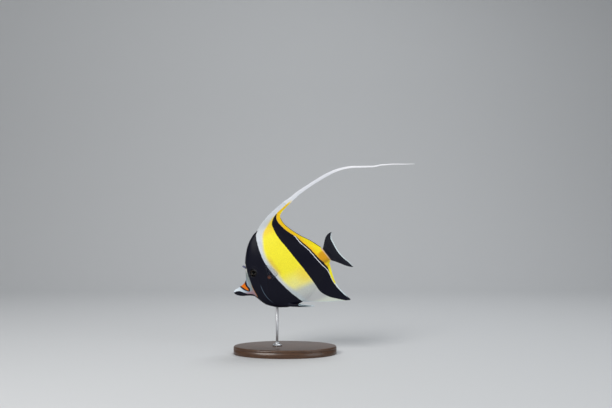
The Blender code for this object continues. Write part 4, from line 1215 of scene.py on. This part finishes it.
tail_margin = smooth_path(TAIL_MARGIN)
tail_finish, tree, shader, hemmed = fin_material("tail_fin_paint", (0.84, 0.96, 1.0), 0.64)
_, at_s, at_h = fish_place(tree)
past_edge = calc(tree, "SUBTRACT", at_s, curve_in_shader(tree, at_h, TAIL_EDGE))
marked = hemmed.inputs["Color"].links[0].from_socket
set_inputs(tree, hemmed, {"Color": mix_colour(tree, ramp(tree, past_edge, -0.4, 0.4), marked, BLACK)})


def tail_grid(u, v):
    root, tip = between(TAIL_ROOT, u), tail_margin(u)
    bow, growth = ((1 - 2 * u) * np.where(u < 0.5, upper, lower) for upper, lower in TAIL_BOW)
    reach = scalloped(v, u, TAIL_RAYS, np.linalg.norm(tip - root, axis=1))
    flat, length = ray_grid(root, tip, reach, bow, growth)
    rim = margin_rim(v, length) * (1 - 0.35 * np.abs(1 - 2 * u) ** 3)[:, None]
    return from_side(flat, TAIL_SWING * np.clip(v, 0, 1)[None, :] ** 2), length, rim


u = dense_ends(8 * (TAIL_RAYS - 1) + 1)
v = np.concatenate([[-0.28, -0.14, -0.05], np.linspace(0, 1, 34)])
middle, length, rim = tail_grid(u, v)
root = flank_width(middle[:, 3, 0], middle[:, 3, 2])[:, None] * 1.02
fall = (1 - smooth_step(0, 0.45, np.clip(v[None, :], 0, 1))) ** 1.5
half = WEB_HALF + (root - WEB_HALF) * fall * (1 - 0.9 * np.clip(-v, 0, 1))[None, :]
half = half * thinned(u, rim, ends=0.03, rate=2.4)
slope = np.stack([-0.3 * np.clip(v, 0, 1), 1 + 0 * v, 0 * v], axis=-1)
slope /= np.linalg.norm(slope, axis=1, keepdims=True)
tail_web = web("tail_web", middle, half, slope, rim, between_rays(u, TAIL_RAYS), tail_finish)
rays = zip(*forked_rays(tail_grid, TAIL_RAYS, first_fork=0.34, radius=0.55, taper=0.62, spread=0.22))
finer = zip(*forked_rays(tail_grid, 2 * TAIL_RAYS - 1, first_fork=0.66, radius=0.3, taper=0.5, spread=0.2))
rays = [*rays, *(ray for ray in finer if ray[0][0, 0] > FINER_FROM)]
tail_rays = fin_rays("tail_rays", *zip(*rays), tail_finish)
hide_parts("tail_fin")
for piece in (tail_web, tail_rays):
    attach(piece, "root")


# The pectoral fins are clear fans on eighteen fine rays, raised at the start of a stroke. Each roots in
# a fleshy lobe behind the gill cover; the web lets light through.

PECTORAL_BASE = ((56.6, 1.8), (61.2, -4.6))
PECTORAL_LEAD = (0.12, 0.86, 0.80)
PECTORAL_TRAIL = (0.95, 0.90, 0.30)
PECTORAL_LENGTH = [
    (0, 25.5), (0.06, 28.5), (0.15, 30.5), (0.3, 30), (0.5, 27), (0.75, 21.5), (0.93, 16.5), (1, 13.5),
]
PECTORAL_CUP = 2.0
PECTORAL_RAYS = 18
PECTORAL_HALF = 0.09
PECTORAL_ROOT_SWELL = 0.75

clear_web_finish, tree, shader = new_material(
    "clear_fin_web", Base_Color=(0.05, 0.06, 0.09, 1), Roughness=0.35, Specular_IOR_Level=0.2
)
cloudy = noise(tree, fish_place(tree)[0], 0.5, 3.0)
set_inputs(tree, shader, {"Alpha": calc(tree, "MULTIPLY_ADD", cloudy, 0.08, 0.05)})
clear_ray_finish, tree, shader = new_material(
    "clear_fin_rays", Roughness=0.4, Specular_IOR_Level=0.2, Alpha=0.42
)
cloudy = noise(tree, fish_place(tree)[0], 0.6, 2.0)
set_inputs(tree, shader, {"Base Color": mix_colour(tree, cloudy, (0.03, 0.035, 0.055), (0.10, 0.11, 0.14))})
pectoral_length = smooth_curve(PECTORAL_LENGTH)


def unit(vector):
    return vector / np.linalg.norm(vector)


def flank_root(base, u, side, sink):
    """Points of a fin's root on the flank, sunk in it a little."""
    s, h = between(base, u).T
    return np.stack([s, side * (body_width(s, h) - sink), h], axis=-1)


def pectoral_grid(side):
    lead, trail = (unit(np.array(way) * (1, side, 1)) for way in (PECTORAL_LEAD, PECTORAL_TRAIL))
    across = unit(np.cross(lead, trail)) * side

    def grid(u, v):
        root = flank_root(PECTORAL_BASE, u, side, 0.3)
        way = between((lead, trail), u)
        way /= np.linalg.norm(way, axis=1, keepdims=True)
        length = pectoral_length(u)
        spot = root[:, None] + way[:, None] * (length[:, None] * v)[..., None]
        cup = PECTORAL_CUP * np.clip(v, 0, 1) ** 2 * np.sin(math.pi * u)[:, None]
        return spot + across * cup[..., None], length, margin_rim(v, length)

    return grid, across


for side, word in HANDS:
    grid, across = pectoral_grid(side)
    u, v = dense_ends(4 * (PECTORAL_RAYS - 1) + 1), np.linspace(0, 1, 26)
    middle, length, rim = grid(u, v)
    half = PECTORAL_HALF + PECTORAL_ROOT_SWELL * (1 - smooth_step(0, 0.22, v)) ** 1.5
    half = half[None, :] * edge_rounding(u, 0.02)[:, None]
    slack = between_rays(u, PECTORAL_RAYS)
    pectoral_web = web(f"pectoral_web_{word}", middle, half, across, rim, slack, clear_web_finish)
    pectoral_lines = forked_rays(grid, PECTORAL_RAYS, first_fork=0.45, radius=0.17, taper=0.6)
    pectoral_rays = fin_rays(f"pectoral_rays_{word}", *pectoral_lines, clear_ray_finish)
    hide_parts(f"pectoral_fin_{word}")
    for piece in (pectoral_web, pectoral_rays):
        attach(piece, "root")


# The pelvic fins are narrow black blades behind one stout spine, folded back under the belly, with a
# pale blue line along their upper edge.

PELVIC_BASE = ((65.3, -51.4), (69.5, -47.4))
PELVIC_LEAD = (39.2, 5.0, -15.6)
PELVIC_TRAIL = (14.0, 4.0, -8.0)
PELVIC_SAG = 0.7
PELVIC_RAYS = 6
PELVIC_SPINES = 1
PELVIC_HALF = 0.14
PELVIC_ROOT_SWELL = 0.5
SPINE_STOUTNESS = 1.45

pelvic_finish, tree, shader = new_material("pelvic_fin_paint", Roughness=0.38, **SATIN)
set_inputs(tree, shader, {"Base Color": layered(
    tree, BLACK,
    (noise(tree, fish_place(tree)[0], 0.4, 3.0), (0.016, 0.017, 0.03)),
    (ramp(tree, attribute(tree, "rim"), 0.66, 0.78), (0.66, 0.86, 0.94)),
)})


def pelvic_grid(side):
    lead, trail = np.array(PELVIC_LEAD) * (1, side, 1), np.array(PELVIC_TRAIL) * (1, side, 1)

    def root_and_reach(u):
        return flank_root(PELVIC_BASE, u, side, 0.35), between((lead, trail), 1 - (1 - u) ** 1.8)

    free_edge = np.add(*root_and_reach(np.linspace(0, 1, 60)))

    def grid(u, v):
        root, reach = root_and_reach(u)
        sag = -PELVIC_SAG * np.sin(math.pi * np.clip(v, 0, 1))
        spot = root[:, None] + reach[:, None] * v[None, :, None] + np.multiply.outer(sag, (0, 0, 1.0))
        from_edge = np.linalg.norm(spot[:, :, None] - free_edge, axis=-1).min(axis=-1)
        return spot, np.linalg.norm(reach, axis=1), np.clip(1 - from_edge / RIM_REACH, 0, 1)

    return grid


for side, word in HANDS:
    grid = pelvic_grid(side)
    u, v = np.linspace(0, 1, 4 * (PELVIC_RAYS - 1) + 1), np.linspace(0, 1, 30)
    middle, length, rim = grid(u, v)
    half = PELVIC_HALF + PELVIC_ROOT_SWELL * (1 - smooth_step(0, 0.35, v)) ** 1.4
    half = half[None, :] * (1 - 0.75 * u ** 4)[:, None]
    normal, slack = unit(np.array([-0.1, side, 0])), between_rays(u, PELVIC_RAYS)
    pelvic_web = web(f"pelvic_web_{word}", middle, half, normal, rim, slack, pelvic_finish)
    lines, radii, rims = forked_rays(
        grid, PELVIC_RAYS, first_fork=0.6, radius=0.34, taper=0.62, spines=PELVIC_SPINES, spread=0.2
    )
    radii[0] = radii[0] * SPINE_STOUTNESS
    pelvic_rays = fin_rays(f"pelvic_rays_{word}", lines, radii, rims, pelvic_finish)
    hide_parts(f"pelvic_fin_{word}")
    for piece in (pelvic_web, pelvic_rays):
        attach(piece, "root")


# Each eye is a dark brown iris round a sunken pupil, under a clear domed cornea, as a glass eye for a
# mounted fish is made. It sits in the skin's socket with its rim just proud of the flank.

PUPIL_RADIUS = 2.5
EYE_SINK = 0.25
CORNEA_LEVEL = 0.16
CORNEA_RISE = 1.75
CORNEA_WALL = 0.35


def head_axis(at, side):
    """A point on the head's surface and its outward direction."""
    s, h = at
    steps = ((0, 0), (0.4, 0), (-0.4, 0), (0, 0.4), (0, -0.4))
    width, aft, fore, above, below = (float(body_width(np.array(s + a), np.array(h + b))) for a, b in steps)
    out = unit(np.array([(fore - aft) / 0.8, 1, (below - above) / 0.8]))
    return np.array([s, side * width, h]), out * (1, side, 1)


def all_round(axis, segments):
    """Directions at right angles to an axis, all round it."""
    helper = np.array([0.0, 0.0, 1.0]) if abs(axis[2]) < 0.9 else np.array([1.0, 0.0, 0.0])
    across = unit(np.cross(axis, helper))
    angle = np.linspace(0, 2 * math.pi, segments, endpoint=False)[:, None]
    return across * np.cos(angle) + np.cross(axis, across) * np.sin(angle)


def turned(name, profile, centre, axis, finish, segments=64):
    """A turned shape from (radius, height along the axis) pairs, pole to pole, in the fish's frame."""
    radii, heights = np.array(profile, float).T[..., None, None]
    spots = centre + axis * heights + np.maximum(radii, 1e-4) * all_round(axis, segments)
    obj = add_mesh(name, place(spots).reshape(-1, 3), ring_faces(len(profile), segments), finish)
    keep_values(obj, "from_axis", np.repeat(radii, segments))
    return obj


iris_finish, tree, shader = new_material("eye_iris", Roughness=0.35, Specular_IOR_Level=0.15)
from_axis = attribute(tree, "from_axis")
round_pupil = calc(
    tree, "MULTIPLY", ramp(tree, from_axis, PUPIL_RADIUS, PUPIL_RADIUS + 0.15),
    ramp(tree, from_axis, PUPIL_RADIUS + 0.75, PUPIL_RADIUS + 0.3),
)
set_inputs(tree, shader, {"Base Color": layered(
    tree, (0.005, 0.003, 0.002),
    (noise(tree, fish_place(tree)[0], 1.4, 4.0, 0.65), (0.009, 0.005, 0.003)),
    (round_pupil, (0.014, 0.007, 0.004)),
    (ramp(tree, from_axis, 4.6, 5.5), (0.004, 0.003, 0.006)),
    (ramp(tree, from_axis, PUPIL_RADIUS, PUPIL_RADIUS - 0.2), (0.001, 0.001, 0.002)),
)})
cornea_finish, _, _ = new_material(
    "eye_cornea", Base_Color=(1, 1, 1, 1), Roughness=0.05, IOR=1.15, Transmission_Weight=1.0
)
r = EYE_RADIUS
ball = [(0, -1.0), (1.2, -0.9), (PUPIL_RADIUS - 0.3, -0.45), (PUPIL_RADIUS, 0.1), (PUPIL_RADIUS + 0.3, 0.28)]
ball += [(PUPIL_RADIUS + 0.3 + (r - PUPIL_RADIUS - 0.6) * k / 8, 0.28 - 0.14 * k / 8) for k in range(1, 9)]
ball += [(r, -0.3), (0.97 * r, -1.2), (0.7 * r, -3.0), (0, -3.6)]
quarter = np.linspace(0, math.pi / 2, 16)
dome, hollow = (
    [((r - wall) * math.sin(a), CORNEA_LEVEL + (CORNEA_RISE - wall) * math.cos(a)) for a in arc]
    for wall, arc in ((0, quarter), (CORNEA_WALL, quarter[::-1]))
)
for side, word in HANDS:
    centre, axis = head_axis(EYE_AT, side)
    centre = centre - axis * EYE_SINK
    eye = turned(f"eye_iris_{word}", ball, centre, axis, iris_finish)
    cornea = turned(f"eye_cornea_{word}", dome + hollow, centre, axis, cornea_finish)
    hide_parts(f"eye_{word}")
    for piece in (eye, cornea):
        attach(piece, "root")


# The horns are small bony cones in front of the eyes, dark at the root and pale at the tip, faintly
# ringed, and set into the brow.

HORN_DIRECTION = (-0.78, 0.3, 0.55)
HORN_RADIUS = 1.95
HORN_LENGTH = 6.5
HORN_SINK = 0.7
HORN_CURVE = (0, 0, 1.1)
HORN_SIDES = 28

horn_finish, tree, shader = new_material("horn_bone", Roughness=0.42, Coat_Weight=0.15)
set_inputs(tree, shader, {"Base Color": layered(
    tree, (0.14, 0.15, 0.26),
    (noise(tree, fish_place(tree)[0], 1.2, 3.0), (0.07, 0.075, 0.15)),
    (ramp(tree, attribute(tree, "tip"), 0.42, 0.12), (0.012, 0.014, 0.035)),
)})
share = np.linspace(0, 1, 30)
radius = HORN_RADIUS * (1 - 0.86 * share ** 1.15) * np.sqrt(1 - np.clip((share - 0.93) / 0.08, 0, 1) ** 2)
radius = radius * (1 + 0.035 * np.sin(share * 34))
for side, word in HANDS:
    root, _ = head_axis(HORN_AT, side)
    way = unit(np.array(HORN_DIRECTION) * (1, side, 1))
    spine = root + np.outer(HORN_LENGTH * share - HORN_SINK, way) + np.outer(share ** 2, HORN_CURVE)
    spots = spine[:, None] + all_round(way, HORN_SIDES)[None] * radius[:, None, None]
    faces = ring_faces(len(share), HORN_SIDES)
    horn = add_mesh(f"brow_horn_{word}", place(spots).reshape(-1, 3), faces, horn_finish)
    keep_values(horn, "tip", np.repeat(share, HORN_SIDES))
    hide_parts(f"horn_{word}")
    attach(horn, "root")


# The stand is an oval base of dark stained walnut with an eased edge and a fine scratched bead, a satin
# steel rod that runs up into the belly, and a turned steel collar at the rod's foot.

BASE_LENGTH = 156.0
BASE_WIDTH = 94.0
BASE_THICKNESS = 12.0
BASE_EASING = 2.4
BEAD_LEVEL = 8.4
ROD_X = -12.0
ROD_RADIUS = 1.9
ROD_EASING = 0.2
ROD_TOP = 73.0
COLLAR_PROFILE = [
    (0, 2.25), (0, 6.6), (0.12, 6.9), (0.4, 7.0), (1.1, 7.0), (1.35, 6.9), (1.5, 6.6), (1.6, 6.1),
    (1.9, 5.3), (2.4, 4.5), (3.0, 3.95), (3.6, 3.7), (4.1, 3.65), (4.6, 3.6), (4.85, 3.45), (5.0, 3.2),
    (5.0, 2.25),
]
FOOT_GAP = 0.3


def stacked_rings(name, rings, finish, segments):
    """A closed upright shape from (half length, half width, height) rings round the rod or the base."""
    angle = np.linspace(0, 2 * math.pi, segments, endpoint=False)
    points = [
        (centre + half_length * math.cos(a), half_width_y * math.sin(a), z)
        for centre, half_length, half_width_y, z in rings for a in angle
    ]
    return add_mesh(name, np.array(points) * METRE, ring_faces(len(rings), segments), finish)


wood_grain, given, result = node_tree(
    "wood_grain", "ShaderNodeTree", [COORDINATES],
    [("Color", "NodeSocketColor"), ("Pores", "NodeSocketFloat")],
)
figure = noise(wood_grain, stretched(wood_grain, given[0], (9, 70, 70)), 1.0, 3.0, 0.55)
across_grain = add_node(wood_grain, "ShaderNodeSeparateXYZ", {0: given[0]}).outputs
rings_seen = calc(wood_grain, "MULTIPLY", figure, 9.0)
for label, rings_in_metre in (("Y", 260.0), ("Z", 120.0)):
    rings_seen = calc(wood_grain, "MULTIPLY_ADD", across_grain[label], rings_in_metre, rings_seen)
growth = calc(wood_grain, "POWER", calc(wood_grain, "FRACT", rings_seen), 2.2)
fibre = noise(wood_grain, stretched(wood_grain, given[0], (60, 1500, 1500)), 1.0, 3.0, 0.6)
pores = noise(wood_grain, stretched(wood_grain, given[0], (120, 2600, 2600)), 1.0, 1.0)
pores = ramp(wood_grain, pores, 0.60, 0.70)
walnut = layered(
    wood_grain, (0.105, 0.047, 0.021),
    (growth, (0.040, 0.017, 0.008)),
    (calc(wood_grain, "MULTIPLY", fibre, 0.55), (0.060, 0.026, 0.012)),
    (calc(wood_grain, "MULTIPLY", pores, 0.6), (0.012, 0.006, 0.004)),
)
set_inputs(wood_grain, result, {"Color": walnut, "Pores": pores})

wood_finish, tree, shader = new_material(
    "stained_walnut", Roughness=0.4, Coat_Weight=0.35, Coat_Roughness=0.18, Specular_IOR_Level=0.4
)
grained = place_group(tree, wood_grain, Object_Coordinates=object_place(tree))
set_inputs(tree, shader, {"Base Color": grained.outputs["Color"]})
add_bump(tree, shader, grained.outputs["Pores"], strength=0.35, distance=0.06, invert=True)

edge_line = [
    (0.5, 0.0), (0.12, 0.15), (0, 0.5), (0, BEAD_LEVEL - 0.5), (0.28, BEAD_LEVEL - 0.35), (0.4, BEAD_LEVEL),
    (0.28, BEAD_LEVEL + 0.35), (0, BEAD_LEVEL + 0.5),
]
edge_line += [
    (BASE_EASING * (1 - math.cos(a)), BASE_THICKNESS - BASE_EASING * (1 - math.sin(a)))
    for a in np.linspace(0, math.pi / 2, 9)
]
base = stacked_rings(
    "wood_base",
    [(0, BASE_LENGTH / 2 - inset, BASE_WIDTH / 2 - inset, z) for inset, z in edge_line], wood_finish, 160,
)
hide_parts("stand_base")
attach(base, "root")

steel_finish, tree, shader = new_material("satin_steel", Base_Color=(0.56, 0.57, 0.59, 1), Metallic=1.0)
lines_seen = noise(tree, stretched(tree, object_place(tree), (300, 300, 9000)), 1.0, 2.0)
set_inputs(tree, shader, {"Roughness": calc(tree, "MULTIPLY_ADD", lines_seen, 0.2, 0.36)})
add_bump(tree, shader, lines_seen, strength=0.15, distance=0.02)

foot = BASE_THICKNESS + FOOT_GAP
rod = stacked_rings(
    "steel_rod",
    [(ROD_X, r, r, z) for r, z in (
        (ROD_RADIUS - ROD_EASING, foot), (ROD_RADIUS, foot + ROD_EASING), (ROD_RADIUS, ROD_TOP),
    )],
    steel_finish, 48,
)
collar_points = [(ROD_X, r, r, foot + z) for z, r in COLLAR_PROFILE]
collar = stacked_rings("steel_collar", collar_points, steel_finish, 72)
for piece, node in ((rod, "stand_rod"), (collar, "stand_collar")):
    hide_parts(node)
    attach(piece, "root")
